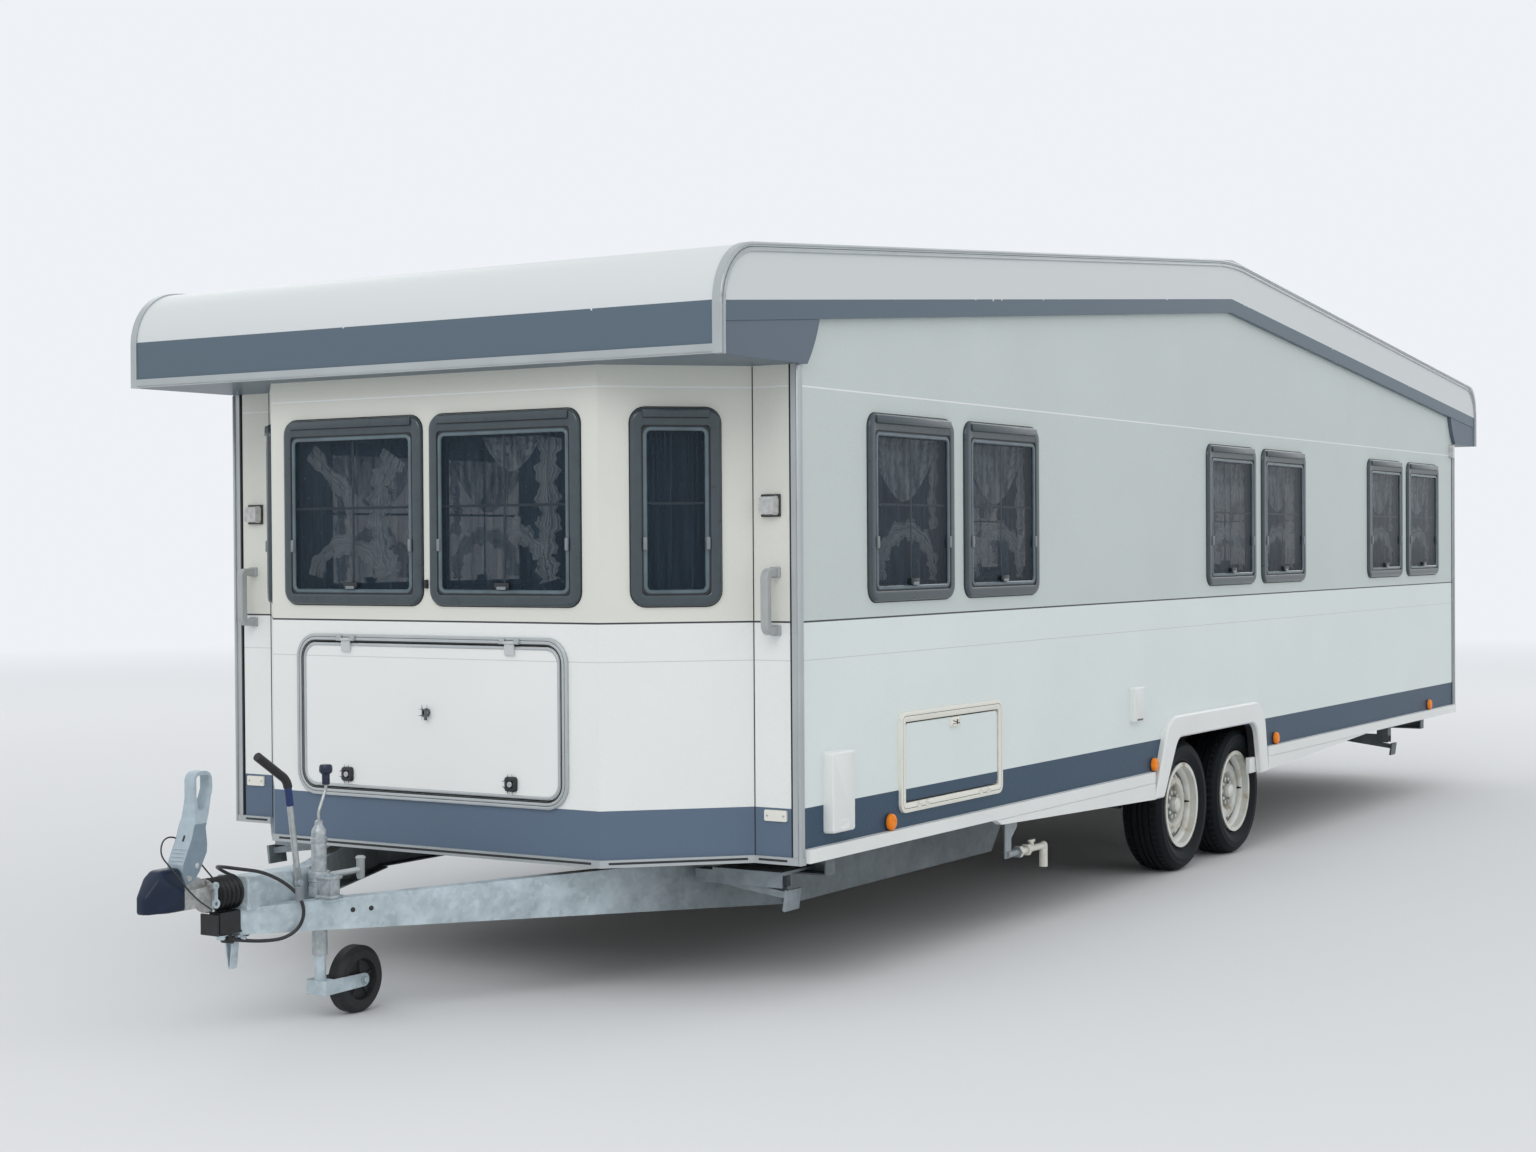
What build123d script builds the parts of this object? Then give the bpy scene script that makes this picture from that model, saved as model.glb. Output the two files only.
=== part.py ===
from build123d import *
import os
from math import cos, hypot, pi, radians, sin, tan

# Travel caravan on two axles, parked on its four road wheels and its jockey wheel.
# Millimetres. +X points to the coupling, +Y to the caravan's left side and +Z up.
# The origin lies on the ground, below the middle of the whole length.

os.makedirs("parts", exist_ok=True)


def keep(piece, name):
    """Label a finished piece and write it as its own STEP file."""
    piece.part.label = name
    export_step(piece.part, f"parts/{name}.step")


# Body: walls of sandwich panel, with a three-sided bay at each end
front_x = 3200
body_length = 7630
rear_x = front_x - body_length
half_width = 1250
wall = 32
sill_z = 448
bay_depth = 361
bay_half = 716
bay_root = bay_half + bay_depth
bay_miter = tan(radians(22.5))
proud = 25

# Floor and wheel boxes
floor_z = 450
floor_thick = 45
floor_top = floor_z + floor_thick

# Roof: two slopes that meet at a cross ridge, turned down at both ends
roof_slope = 5.05
roof_thick = 34
ridge_x = -650
ridge_z = 2786
cowl_front_x = 3690
cowl_rear_x = -4855
cowl_front_radius = 200
cowl_rear_radius = 135
soffit_z = 2066
soffit_thick = 20
rise = tan(radians(roof_slope))

# Road wheels: 14 inch steel rims, in pairs on two axles
axle_x = (-220, -890)
tyre_radius = 297
tyre_width = 190
tyre_outer_y = 1205
wheel_y = tyre_outer_y - tyre_width / 2
stub_radius = 20
stub_clearance = 0.06
wheel_box_gap = 38
wheel_box_wall = 12
wheel_box_inner_y = 985
wheel_box_top = 700

# Chassis and drawbar
rail_outer_y = 950
rail_flange = 45
steel = 5
rail_bottom_z = 240
rail_step_x = 1220
rail_rear_bottom_z = 375
rail_front_x = 2790
rail_rear_x = -4300
beam_tip = (4482, 33)
beam_root = (2739, 956)
beam_flange = 50
beam_tip_z = (306, 385)
beam_root_z = (237, 424)

# Coupling, all on the pull tube's axis
pull_z = 437


def body_plan(inset, mode=Mode.ADD):
    """Plan of the body with its two bays, moved inwards by inset."""
    side = half_width - inset
    root = bay_root - inset * bay_miter
    nose = bay_half - inset * bay_miter
    fx = front_x - inset
    rx = rear_x + inset
    half = [(fx, side), (fx, root), (fx + bay_depth, nose)]
    tail = [(rx - bay_depth, nose), (rx, root), (rx, side)]
    with BuildLine() as outline:
        Polyline(
            *half,
            *[(x, -y) for x, y in reversed(half)],
            *[(x, -y) for x, y in reversed(tail)],
            *tail,
            close=True,
        )
    make_face(outline.edges(), mode=mode)


def roof_section(inset, bottom):
    """Long section of the roof, inside its skin by inset, closed at bottom."""
    drop = inset / cos(radians(roof_slope))
    fx = cowl_front_x - inset
    rx = cowl_rear_x + inset
    top = ridge_z - drop
    with BuildSketch() as section:
        with BuildLine():
            Polyline(
                (fx, bottom),
                (fx, top - (fx - ridge_x) * rise),
                (ridge_x, top),
                (rx, top - (ridge_x - rx) * rise),
                (rx, bottom),
                close=True,
            )
        make_face()
        corners = section.vertices().sort_by(Axis.Y)[2:4].sort_by(Axis.X)
        fillet(corners[1], cowl_front_radius - inset)
        fillet(section.vertices().sort_by(Axis.X)[:2].sort_by(Axis.Y)[1], cowl_rear_radius - inset)
    return section.sketch


def roof_height(x, below):
    """Height of a line that runs below the roof's skin, at a place along the body."""
    return ridge_z - below - abs(x - ridge_x) * rise


def face_plane(x, y, z, heading):
    """Plane on an outer wall face: its normal points out, and its second axis up."""
    out = Vector(cos(radians(heading)), sin(radians(heading)), 0)
    along = Vector(-sin(radians(heading)), cos(radians(heading)), 0)
    return Plane(origin=(x, y, z), x_dir=along, z_dir=out)


# Windows: place of the centre on each outer face, heading, width, height, upright bar
window_height = 645
window_z = 1607
side_window_x = (2435, 1721, -690, -1408, -3064, -3785)
door_side_window_x = (2435, 1721, -690, -3064, -3785)
facet_x = bay_depth / 2
facet_y = (bay_half + bay_root) / 2
windows = {"left": [], "right": [], "front": [], "rear": []}
for x in side_window_x:
    windows["left"].append((x, half_width, 90, 622, True))
for x in door_side_window_x:
    windows["right"].append((x, -half_width, -90, 622, True))
for side in (1, -1):
    windows["front"].append((front_x + bay_depth, side * 333, 0, 631, True))
    windows["front"].append((front_x + facet_x, side * facet_y, side * 45, 300, False))
    windows["rear"].append((rear_x - bay_depth, side * 333, 180, 631, True))
    windows["rear"].append((rear_x - facet_x, side * facet_y, 180 - side * 45, 300, False))
window_radius = 60
window_flange = 30
window_liner = 5
window_proud = 16
pane_thick = 8
bar_width = 14
bar_thick = 4


def window_hole(width):
    """Outline of the hole that a window's liner fills."""
    inner = window_flange - window_liner
    RectangleRounded(width - 2 * inner, window_height - 2 * inner, window_radius - inner)


def cut_windows(wall_name):
    """Cut one wall's window holes in the current part."""
    for x, y, heading, width, _ in windows[wall_name]:
        with BuildSketch(face_plane(x, y, window_z, heading).offset(1)) as hole:
            window_hole(width)
        extrude(hole.sketch, amount=-wall - 2, mode=Mode.SUBTRACT)


# Wheel arch: a trapezium with rounded top corners, cut in each side wall
arch_front_x = 290
arch_rear_x = -1120
arch_top_z = 720
arch_rim = 97
arch_front_lean = 165
arch_rear_lean = 60
arch_radius = 140
arch_bottom_z = 375


def arch_outline(inset, bottom):
    """Outline of the wheel arch, moved inwards by inset, down to bottom."""
    with BuildSketch() as arch:
        with BuildLine():
            Polyline(
                (arch_front_x - inset, bottom),
                (arch_front_x - inset - arch_front_lean, arch_top_z - inset),
                (arch_rear_x + inset + arch_rear_lean, arch_top_z - inset),
                (arch_rear_x + inset, bottom),
                close=True,
            )
        make_face()
        fillet(arch.vertices().sort_by(Axis.Y)[2:], arch_radius - inset / 2)
    return arch.sketch


# Hatches and doors: middle of the opening, its size, and the radius of its corners
locker_z = 902
locker_width = 1172
locker_height = 547
locker_radius = 78
locker_rim = 18
service_x = 2139
service_z = 719
service_width = 779
service_height = 335
service_radius = 24
service_rim = 26
service_depth = 22
door_x = 710
door_bottom_z = 505
door_top_z = 2290
door_width = 640
door_radius = 70
door_rim = 24
lid_gap = 5
lid_proud = 6
rim_proud = 10
door_z = (door_bottom_z + door_top_z) / 2
door_height = door_top_z - door_bottom_z
locker_plane = face_plane(front_x + bay_depth, 0, locker_z, 0)
service_plane = face_plane(service_x, half_width, service_z, 90)
door_plane = face_plane(door_x, -half_width, door_z, -90)

# Space inside the roof's skin and the walls' outer faces
with BuildPart() as roof_space:
    with BuildSketch(Plane.XZ):
        add(roof_section(roof_thick, 0))
    extrude(amount=2 * half_width, both=True)

with BuildPart() as cabin_space:
    with BuildSketch(Plane.XY.offset(sill_z)):
        body_plan(0)
    extrude(amount=ridge_z)
    add(roof_space.part, mode=Mode.INTERSECT)

# Left wall, with its windows, service hatch and wheel arch
with BuildPart() as left_wall:
    with BuildSketch(Plane.XY.offset(sill_z)):
        with Locations(((front_x + rear_x) / 2, half_width - wall / 2)):
            Rectangle(body_length, wall)
    extrude(amount=ridge_z)
    add(roof_space.part, mode=Mode.INTERSECT)
    cut_windows("left")
    with BuildSketch(service_plane.offset(1)):
        RectangleRounded(service_width, service_height, service_radius)
    extrude(amount=-wall - 2, mode=Mode.SUBTRACT)
    with BuildSketch(Plane.XZ.offset(-half_width - 1)):
        add(arch_outline(arch_rim, arch_bottom_z))
    extrude(amount=wall + 2, mode=Mode.SUBTRACT)
keep(left_wall, "left_wall")

# Right wall, with its windows, entrance door and wheel arch
with BuildPart() as right_wall:
    with BuildSketch(Plane.XY.offset(sill_z)):
        with Locations(((front_x + rear_x) / 2, -half_width + wall / 2)):
            Rectangle(body_length, wall)
    extrude(amount=ridge_z)
    add(roof_space.part, mode=Mode.INTERSECT)
    cut_windows("right")
    with BuildSketch(door_plane.offset(1)):
        RectangleRounded(door_width, door_height, door_radius)
    extrude(amount=-wall - 2, mode=Mode.SUBTRACT)
    with BuildSketch(Plane.XZ.offset(half_width + 1)):
        add(arch_outline(arch_rim, arch_bottom_z))
    extrude(amount=-wall - 2, mode=Mode.SUBTRACT)
keep(right_wall, "right_wall")


# End walls: two strips, two facets and a middle panel in one folded ring
def end_wall_block(direction):
    """Block of space that holds one end wall between the side walls."""
    end_x = front_x if direction > 0 else rear_x
    length = bay_depth + wall
    with Locations((end_x + direction * (bay_depth - wall) / 2, 0)):
        Rectangle(length, 2 * (half_width - wall), mode=Mode.INTERSECT)


with BuildPart() as front_wall:
    with BuildSketch(Plane.XY.offset(sill_z)):
        body_plan(0)
        body_plan(wall, mode=Mode.SUBTRACT)
        end_wall_block(1)
    extrude(amount=ridge_z)
    add(roof_space.part, mode=Mode.INTERSECT)
    cut_windows("front")
    with BuildSketch(locker_plane.offset(1)):
        RectangleRounded(locker_width, locker_height, locker_radius)
    extrude(amount=-wall - 2, mode=Mode.SUBTRACT)
keep(front_wall, "front_wall")

with BuildPart() as rear_wall:
    with BuildSketch(Plane.XY.offset(sill_z)):
        body_plan(0)
        body_plan(wall, mode=Mode.SUBTRACT)
        end_wall_block(-1)
    extrude(amount=ridge_z)
    add(roof_space.part, mode=Mode.INTERSECT)
    cut_windows("rear")
keep(rear_wall, "rear_wall")

# Roof: one folded skin with a closed cowl in front of and behind the body
with BuildPart() as roof:
    with BuildSketch(Plane.XZ):
        add(roof_section(0, soffit_z))
    extrude(amount=half_width, both=True)
    with BuildSketch(Plane.XZ):
        add(roof_section(roof_thick, soffit_z + soffit_thick))
    extrude(amount=half_width - wall, both=True, mode=Mode.SUBTRACT)
    add(cabin_space.part, mode=Mode.SUBTRACT)
keep(roof, "roof")

# Floor slab with a wheel box at each side
box_front_x = axle_x[0] + tyre_radius + wheel_box_gap
box_rear_x = axle_x[1] - tyre_radius - wheel_box_gap
box_length = box_front_x - box_rear_x
box_x = (box_front_x + box_rear_x) / 2
box_depth = half_width - wall - wheel_box_inner_y
with BuildPart() as floor_panel:
    with BuildSketch(Plane.XY.offset(floor_z)):
        body_plan(wall)
    extrude(amount=floor_thick)
    for side in (1, -1):
        with BuildSketch(Plane.XY.offset(floor_z)):
            with Locations((box_x, side * (wheel_box_inner_y + box_depth / 2 - wheel_box_wall / 2))):
                Rectangle(box_length + 2 * wheel_box_wall, box_depth + wheel_box_wall)
        extrude(amount=wheel_box_top + wheel_box_wall - floor_z)
        with BuildSketch(Plane.XY.offset(floor_z)):
            with Locations((box_x, side * (wheel_box_inner_y + box_depth / 2))):
                Rectangle(box_length, box_depth)
        extrude(amount=wheel_box_top - floor_z, mode=Mode.SUBTRACT)
keep(floor_panel, "floor")

# Gas locker: bulkhead and shelf behind the front hatch
locker_bulkhead_x = 3120
locker_board = 15
locker_roof_z = 1195
with BuildPart() as locker_box:
    with BuildSketch(Plane.XY.offset(floor_top)):
        with Locations((locker_bulkhead_x, 0)):
            Rectangle(locker_board, 2 * (half_width - wall))
    extrude(amount=locker_roof_z + locker_board - floor_top)
    with BuildSketch(Plane.XY.offset(locker_roof_z)):
        body_plan(wall)
        with Locations((locker_bulkhead_x + bay_depth, 0)):
            Rectangle(2 * bay_depth, 2 * half_width, mode=Mode.INTERSECT)
    extrude(amount=locker_board)
keep(locker_box, "gas_locker_bulkhead")

# Side fascias under the roof's edge, with an aluminium edge rail round them
rail_depth = 30
rail_lip = 5
fascia_depth = 238
with BuildPart() as fascias:
    for side in (1, -1):
        base = Plane.XZ.offset(-side * half_width)
        with BuildSketch(base):
            add(roof_section(rail_depth - rail_lip, soffit_z))
            with BuildLine():
                Polyline(
                    (cowl_front_x, roof_height(cowl_front_x, fascia_depth)),
                    (ridge_x, ridge_z - fascia_depth),
                    (cowl_rear_x, roof_height(cowl_rear_x, fascia_depth)),
                    (cowl_rear_x, soffit_z - 1),
                    (cowl_front_x, soffit_z - 1),
                    close=True,
                )
            make_face(mode=Mode.SUBTRACT)
        extrude(amount=-side * proud)
keep(fascias, "roof_fascias")

# Moulded brackets that fill the corners below the fascias
bracket_gap = 0.5
bracket_tables = (
    (cowl_front_x - rail_depth + rail_lip, 3170, 3090, 3115),
    (cowl_rear_x + rail_depth - rail_lip, -4420, -4320, -4350),
)
with BuildPart() as brackets:
    for side in (1, -1):
        for end_x, foot_x, top_x, mid_x in bracket_tables:
            end_z = roof_height(end_x, fascia_depth) - bracket_gap
            top_z = roof_height(top_x, fascia_depth) - bracket_gap
            mid_z = soffit_z + 0.58 * (top_z - soffit_z)
            with BuildSketch(Plane.XZ.offset(-side * half_width)):
                with BuildLine():
                    Polyline((top_x, top_z), (end_x, end_z), (end_x, soffit_z), (foot_x, soffit_z))
                    ThreePointArc((foot_x, soffit_z), (mid_x, mid_z), (top_x, top_z))
                make_face()
            extrude(amount=-side * (proud - 3))
keep(brackets, "fascia_brackets")

# Aluminium rails: along both roof edges and across both cowls
cowl_rail = 30
post_leg = 22
post_thick = 6
sill_trim_z = 443
sill_trim_height = 25
sill_trim_thick = 10
with BuildPart() as trims:
    for side in (1, -1):
        with BuildSketch(Plane.XZ.offset(-side * half_width)):
            add(roof_section(-rail_lip, soffit_z))
            add(roof_section(rail_depth - rail_lip, soffit_z), mode=Mode.SUBTRACT)
        extrude(amount=-side * (proud + 4))
    for face_x, direction in ((cowl_front_x, 1), (cowl_rear_x, -1)):
        with BuildSketch(Plane.YZ.offset(face_x)):
            with Locations((0, soffit_z + cowl_rail / 2)):
                Rectangle(2 * half_width, cowl_rail)
        extrude(amount=direction * rail_lip)

    # Posts on the four side corners and sill trims round both ends, folded from strip
    for direction, end_x in ((1, front_x), (-1, rear_x)):
        with BuildSketch(Plane.XY.offset(sill_trim_z)):
            body_plan(-post_thick)
            body_plan(0, mode=Mode.SUBTRACT)
            with BuildSketch(mode=Mode.INTERSECT):
                with Locations((end_x, half_width), (end_x, -half_width)):
                    Rectangle(2 * post_leg, 2 * post_leg)
        extrude(amount=soffit_z - sill_trim_z)
        with BuildSketch(Plane.XY.offset(sill_trim_z)):
            body_plan(-sill_trim_thick)
            body_plan(0, mode=Mode.SUBTRACT)
            with Locations((end_x + direction * (bay_depth / 2), 0)):
                Rectangle(bay_depth + 2 * post_leg, 2 * half_width + 60, mode=Mode.INTERSECT)
        extrude(amount=sill_trim_height)
keep(trims, "aluminium_trims")

# Side skirts: a straight rail on the sill, deeper towards the wheel arch
skirt_top_z = 493
skirt_front_x = front_x - post_leg - 1
skirt_rear_x = rear_x + post_leg + 1
skirt_groove = 4
front_skirt = [
    (skirt_front_x, skirt_top_z),
    (skirt_front_x, sill_z),
    (1830, sill_z),
    (1780, 426),
    (arch_front_x, arch_bottom_z),
    (arch_front_x, skirt_top_z),
]
rear_skirt = [
    (arch_rear_x, skirt_top_z),
    (arch_rear_x, 383),
    (-2740, sill_z),
    (skirt_rear_x, sill_z),
    (skirt_rear_x, skirt_top_z),
]
with BuildPart() as skirts:
    for side in (1, -1):
        for outline in (front_skirt, rear_skirt):
            with BuildSketch(Plane.XZ.offset(-side * half_width)):
                with BuildLine():
                    Polyline(*outline, close=True)
                make_face()
            extrude(amount=-side * proud)
    with BuildSketch(Plane.XY.offset(sill_z)):
        with Locations((0, half_width + proud), (0, -half_width - proud)):
            Rectangle(2 * front_x + 3000, 2 * skirt_groove)
    extrude(amount=-skirt_groove, mode=Mode.SUBTRACT)
keep(skirts, "side_skirts")

# Wheel arch spats, bevelled round their outer edge
with BuildPart() as spats:
    for side in (1, -1):
        with BuildSketch(Plane.XZ.offset(-side * half_width)):
            add(arch_outline(0.5, arch_bottom_z))
            add(arch_outline(arch_rim, arch_bottom_z - 1), mode=Mode.SUBTRACT)
        extrude(amount=-side * (proud + 3))
    outer = spats.faces().sort_by(Axis.Y)
    chamfer(outer[0].outer_wire().edges() + outer[-1].outer_wire().edges(), 7)
keep(spats, "wheel_arch_spats")

# Window frames: a flange on the wall, a liner through it, and a cross of bars behind the pane
with BuildPart() as frames:
    for group in windows.values():
        for x, y, heading, width, upright in group:
            plane = face_plane(x, y, window_z, heading)
            with BuildSketch(plane):
                RectangleRounded(width, window_height, window_radius)
                RectangleRounded(
                    width - 2 * window_flange,
                    window_height - 2 * window_flange,
                    window_radius - window_flange,
                    mode=Mode.SUBTRACT,
                )
            extrude(amount=window_proud)
            with BuildSketch(plane):
                inner = window_flange - window_liner
                RectangleRounded(width - 2 * inner, window_height - 2 * inner, window_radius - inner)
                RectangleRounded(
                    width - 2 * window_flange,
                    window_height - 2 * window_flange,
                    window_radius - window_flange,
                    mode=Mode.SUBTRACT,
                )
            extrude(amount=-wall)
            with BuildSketch(plane.offset(-bar_thick)):
                Rectangle(width - 2 * window_flange + 2, bar_width)
                if upright:
                    Rectangle(bar_width, window_height - 2 * window_flange + 2)
            extrude(amount=bar_thick)
keep(frames, "window_frames")

# Window panes of tinted acrylic, seated on the bars inside the frames
pane_gap = 0.4
with BuildPart() as panes:
    for group in windows.values():
        for x, y, heading, width, _ in group:
            with BuildSketch(face_plane(x, y, window_z, heading)):
                RectangleRounded(
                    width - 2 * window_flange - 2 * pane_gap,
                    window_height - 2 * window_flange - 2 * pane_gap,
                    window_radius - window_flange,
                )
            extrude(amount=pane_thick)
keep(panes, "window_panes")

# Net curtains, hung just inside the walls
curtain_thick = 12
curtain_gap = 0.5
curtain_drop = 655
with BuildPart() as curtains:
    for group in windows.values():
        for x, y, heading, width, _ in group:
            with BuildSketch(face_plane(x, y, window_z, heading).offset(-wall - curtain_gap)):
                Rectangle(width - 8, curtain_drop)
            extrude(amount=-curtain_thick)
keep(curtains, "curtains")


# Rims of the three openings, fixed to the walls
def rim_ring(plane, width, height, radius, rim):
    """Flat ring on the wall round an opening, with a lining through the wall."""
    for lip, depth in ((8, rim_proud), (0, -wall)):
        with BuildSketch(plane) as ring:
            RectangleRounded(width + 2 * lip, height + 2 * lip, radius + lip)
            RectangleRounded(width - 2 * rim, height - 2 * rim, max(radius - rim, 6), mode=Mode.SUBTRACT)
        extrude(ring.sketch, amount=depth)


hinge_radius = 5
hinge_half = 20
hinge_fit = 0.3
hinge_out = lid_proud + hinge_radius + 5
strap_over = 14
locker_hinge_y = (-360, 360)
locker_hinge_z = locker_height / 2 - locker_rim - lid_gap + 12
service_hinge_z = -(service_height / 2 - service_rim - lid_gap + 12)
door_hinge_u = door_width / 2 - door_rim - lid_gap + 14
service_hinge_u = (-240, 240)
door_hinge_z = (-700, 0, 700)


def hinge_barrel(plane, u, v, half_length, upright):
    """Barrel on the hinge line of a hatch, at u along its plane and v up."""
    centre = plane.from_local_coords((u, v, hinge_out))
    axis_dir = plane.y_dir if upright else plane.x_dir
    start = centre - axis_dir * half_length
    with BuildSketch(Plane(origin=start, z_dir=axis_dir)) as barrel:
        Circle(hinge_radius)
    extrude(barrel.sketch, amount=2 * half_length)


def hinge_leaf(plane, u, v, half_length, reach, base, upright):
    """Leaf from the hinge line to the piece that it is fixed on."""
    with BuildSketch(plane.offset(base)) as leaf:
        if upright:
            with Locations((u + reach / 2, v)):
                Rectangle(abs(reach), 2 * half_length)
        else:
            with Locations((u, v + reach / 2)):
                Rectangle(2 * half_length, abs(reach))
    extrude(leaf.sketch, amount=hinge_out - base)


side_half = hinge_half / 2
with BuildPart() as hatch_rims:
    rim_ring(locker_plane, locker_width, locker_height, locker_radius, locker_rim)
    rim_ring(service_plane, service_width, service_height, service_radius, service_rim)
    rim_ring(door_plane, door_width, door_height, door_radius, door_rim)
    for u in locker_hinge_y:
        for step in (-1, 1):
            place = u + step * (hinge_half + side_half + hinge_fit)
            hinge_barrel(locker_plane, place, locker_hinge_z, side_half, False)
            hinge_leaf(locker_plane, place, locker_hinge_z, side_half, 14, rim_proud - 1, False)
    for u in service_hinge_u:
        for step in (-1, 1):
            place = u + step * (hinge_half + side_half + hinge_fit)
            hinge_barrel(service_plane, place, service_hinge_z, side_half, False)
            hinge_leaf(service_plane, place, service_hinge_z, side_half, -14, rim_proud - 1, False)
    for v in door_hinge_z:
        for step in (-1, 1):
            place = v + step * (hinge_half + side_half + hinge_fit)
            hinge_barrel(door_plane, door_hinge_u, place, side_half, True)
            hinge_leaf(door_plane, door_hinge_u, place, side_half, 14, rim_proud - 1, True)
keep(hatch_rims, "hatch_rims")


def lid_panel(plane, width, height, radius, rim, depth):
    """Panel that fills an opening inside its rim, proud of the wall."""
    inset = rim + lid_gap
    with BuildSketch(plane.offset(-depth)) as panel:
        RectangleRounded(width - 2 * inset, height - 2 * inset, max(radius - inset, 6))
    extrude(panel.sketch, amount=depth + lid_proud)


def lid_strap(plane, u, v, reach, upright):
    """Strap that carries a lid's hinge barrel clear over the rim, and its foot on the lid."""
    hinge_barrel(plane, u, v, hinge_half, upright)
    hinge_leaf(plane, u, v, hinge_half, reach, rim_proud + 1, upright)
    step = strap_over if reach > 0 else -strap_over
    if upright:
        hinge_leaf(plane, u + step, v, hinge_half, reach - step, lid_proud - 1, upright)
    else:
        hinge_leaf(plane, u, v + step, hinge_half, reach - step, lid_proud - 1, upright)


with BuildPart() as locker_lid:
    lid_panel(locker_plane, locker_width, locker_height, locker_radius, locker_rim, wall)
    for u in locker_hinge_y:
        lid_strap(locker_plane, u, locker_hinge_z, -40, False)
        with BuildSketch(locker_plane.offset(lid_proud - 1)):
            with Locations((u, -205)):
                Circle(22)
        extrude(amount=10)
    with BuildSketch(locker_plane.offset(lid_proud - 1)):
        with Locations((0, 21)):
            Circle(11)
    extrude(amount=16)
keep(locker_lid, "gas_locker_lid")

with BuildPart() as service_lid:
    lid_panel(service_plane, service_width, service_height, service_radius, service_rim, service_depth)
    for u in service_hinge_u:
        lid_strap(service_plane, u, service_hinge_z, 40, False)
    with BuildSketch(service_plane.offset(lid_proud - 1)):
        with Locations((0, service_height / 2 - service_rim - 34)):
            RectangleRounded(60, 34, 8)
    extrude(amount=9)
keep(service_lid, "service_hatch_lid")

# Entrance door with its own window
door_window = (380, 560)
door_window_z = 500
with BuildPart() as door:
    lid_panel(door_plane, door_width, door_height, door_radius, door_rim, wall)
    with BuildSketch(door_plane.offset(-wall - 1)):
        with Locations((0, door_window_z)):
            RectangleRounded(*door_window, 50)
    extrude(amount=wall + lid_proud + 2, mode=Mode.SUBTRACT)
    with BuildSketch(door_plane.offset(lid_proud)):
        with Locations((0, door_window_z)):
            RectangleRounded(door_window[0] + 50, door_window[1] + 50, 75)
            RectangleRounded(*door_window, 50, mode=Mode.SUBTRACT)
    extrude(amount=12)
    for v in door_hinge_z:
        lid_strap(door_plane, door_hinge_u, v, -44, True)
    with BuildSketch(door_plane.offset(lid_proud - 1)):
        with Locations((-door_width / 2 + 85, 40)):
            RectangleRounded(50, 130, 12)
    extrude(amount=30)
keep(door, "entrance_door")

with BuildPart() as door_pane:
    with BuildSketch(door_plane):
        with Locations((0, door_window_z)):
            RectangleRounded(door_window[0] - 2 * pane_gap, door_window[1] - 2 * pane_gap, 50 - pane_gap)
    extrude(amount=pane_thick)
keep(door_pane, "door_pane")

# Lamps, reflectors and handles on the end strips and side walls
side_lamp_x = (2608, 264, -1272, -3898)
side_lamp_z = 523
with BuildPart() as side_lamps:
    for side in (1, -1):
        for x in side_lamp_x:
            with BuildSketch(face_plane(x, side * half_width, side_lamp_z, side * 90)):
                Circle(30)
            extrude(amount=22, taper=12)
keep(side_lamps, "side_lamps")

strip_lamp_y = 1150
with BuildPart() as strip_lamps:
    for side in (1, -1):
        for end_x, heading in ((front_x, 0), (rear_x, 180)):
            with BuildSketch(face_plane(end_x, side * strip_lamp_y, 1610, heading)):
                RectangleRounded(66, 66, 12)
            extrude(amount=34, taper=8)
        with BuildSketch(face_plane(rear_x + 58, side * half_width, 2020, side * 90)):
            RectangleRounded(40, 84, 12)
        extrude(amount=26, taper=10)
keep(strip_lamps, "marker_lamps")

with BuildPart() as rear_lamps:
    for side in (1, -1):
        with BuildSketch(face_plane(rear_x, side * 1165, 800, 180)):
            RectangleRounded(94, 330, 18)
        extrude(amount=38, taper=6)
keep(rear_lamps, "rear_lamps")

with BuildPart() as reflectors:
    for side in (1, -1):
        for end_x, heading in ((front_x, 0), (rear_x, 180)):
            with BuildSketch(face_plane(end_x, side * 1161, 601, heading)):
                RectangleRounded(86, 36, 5)
            extrude(amount=7)
keep(reflectors, "reflector_plates")

handle_low_z = 1190
handle_high_z = 1407
handle_out = 62
handle_radius = 14
with BuildPart() as grab_handles:
    for side in (1, -1):
        for end_x, direction in ((front_x, 1), (rear_x, -1)):
            y = side * 1165
            with BuildLine() as bar_path:
                FilletPolyline(
                    (end_x, y, handle_low_z + handle_radius),
                    (end_x + direction * handle_out, y, handle_low_z + handle_radius),
                    (end_x + direction * handle_out, y, handle_high_z - handle_radius),
                    (end_x, y, handle_high_z - handle_radius),
                    radius=20,
                )
            with BuildSketch(Plane(origin=(end_x, y, handle_low_z + handle_radius), z_dir=(direction, 0, 0))):
                RectangleRounded(2 * handle_radius, 2 * handle_radius, 5)
            sweep(path=bar_path.wire())
keep(grab_handles, "grab_handles")

with BuildPart() as side_covers:
    with BuildSketch(face_plane(2975, half_width, 665, 90)):
        RectangleRounded(150, 270, 22)
    extrude(amount=40, taper=6)
    with BuildSketch(face_plane(455, half_width, 795, 90)):
        RectangleRounded(115, 150, 12)
    extrude(amount=26, taper=6)
keep(side_covers, "side_covers")

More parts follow.
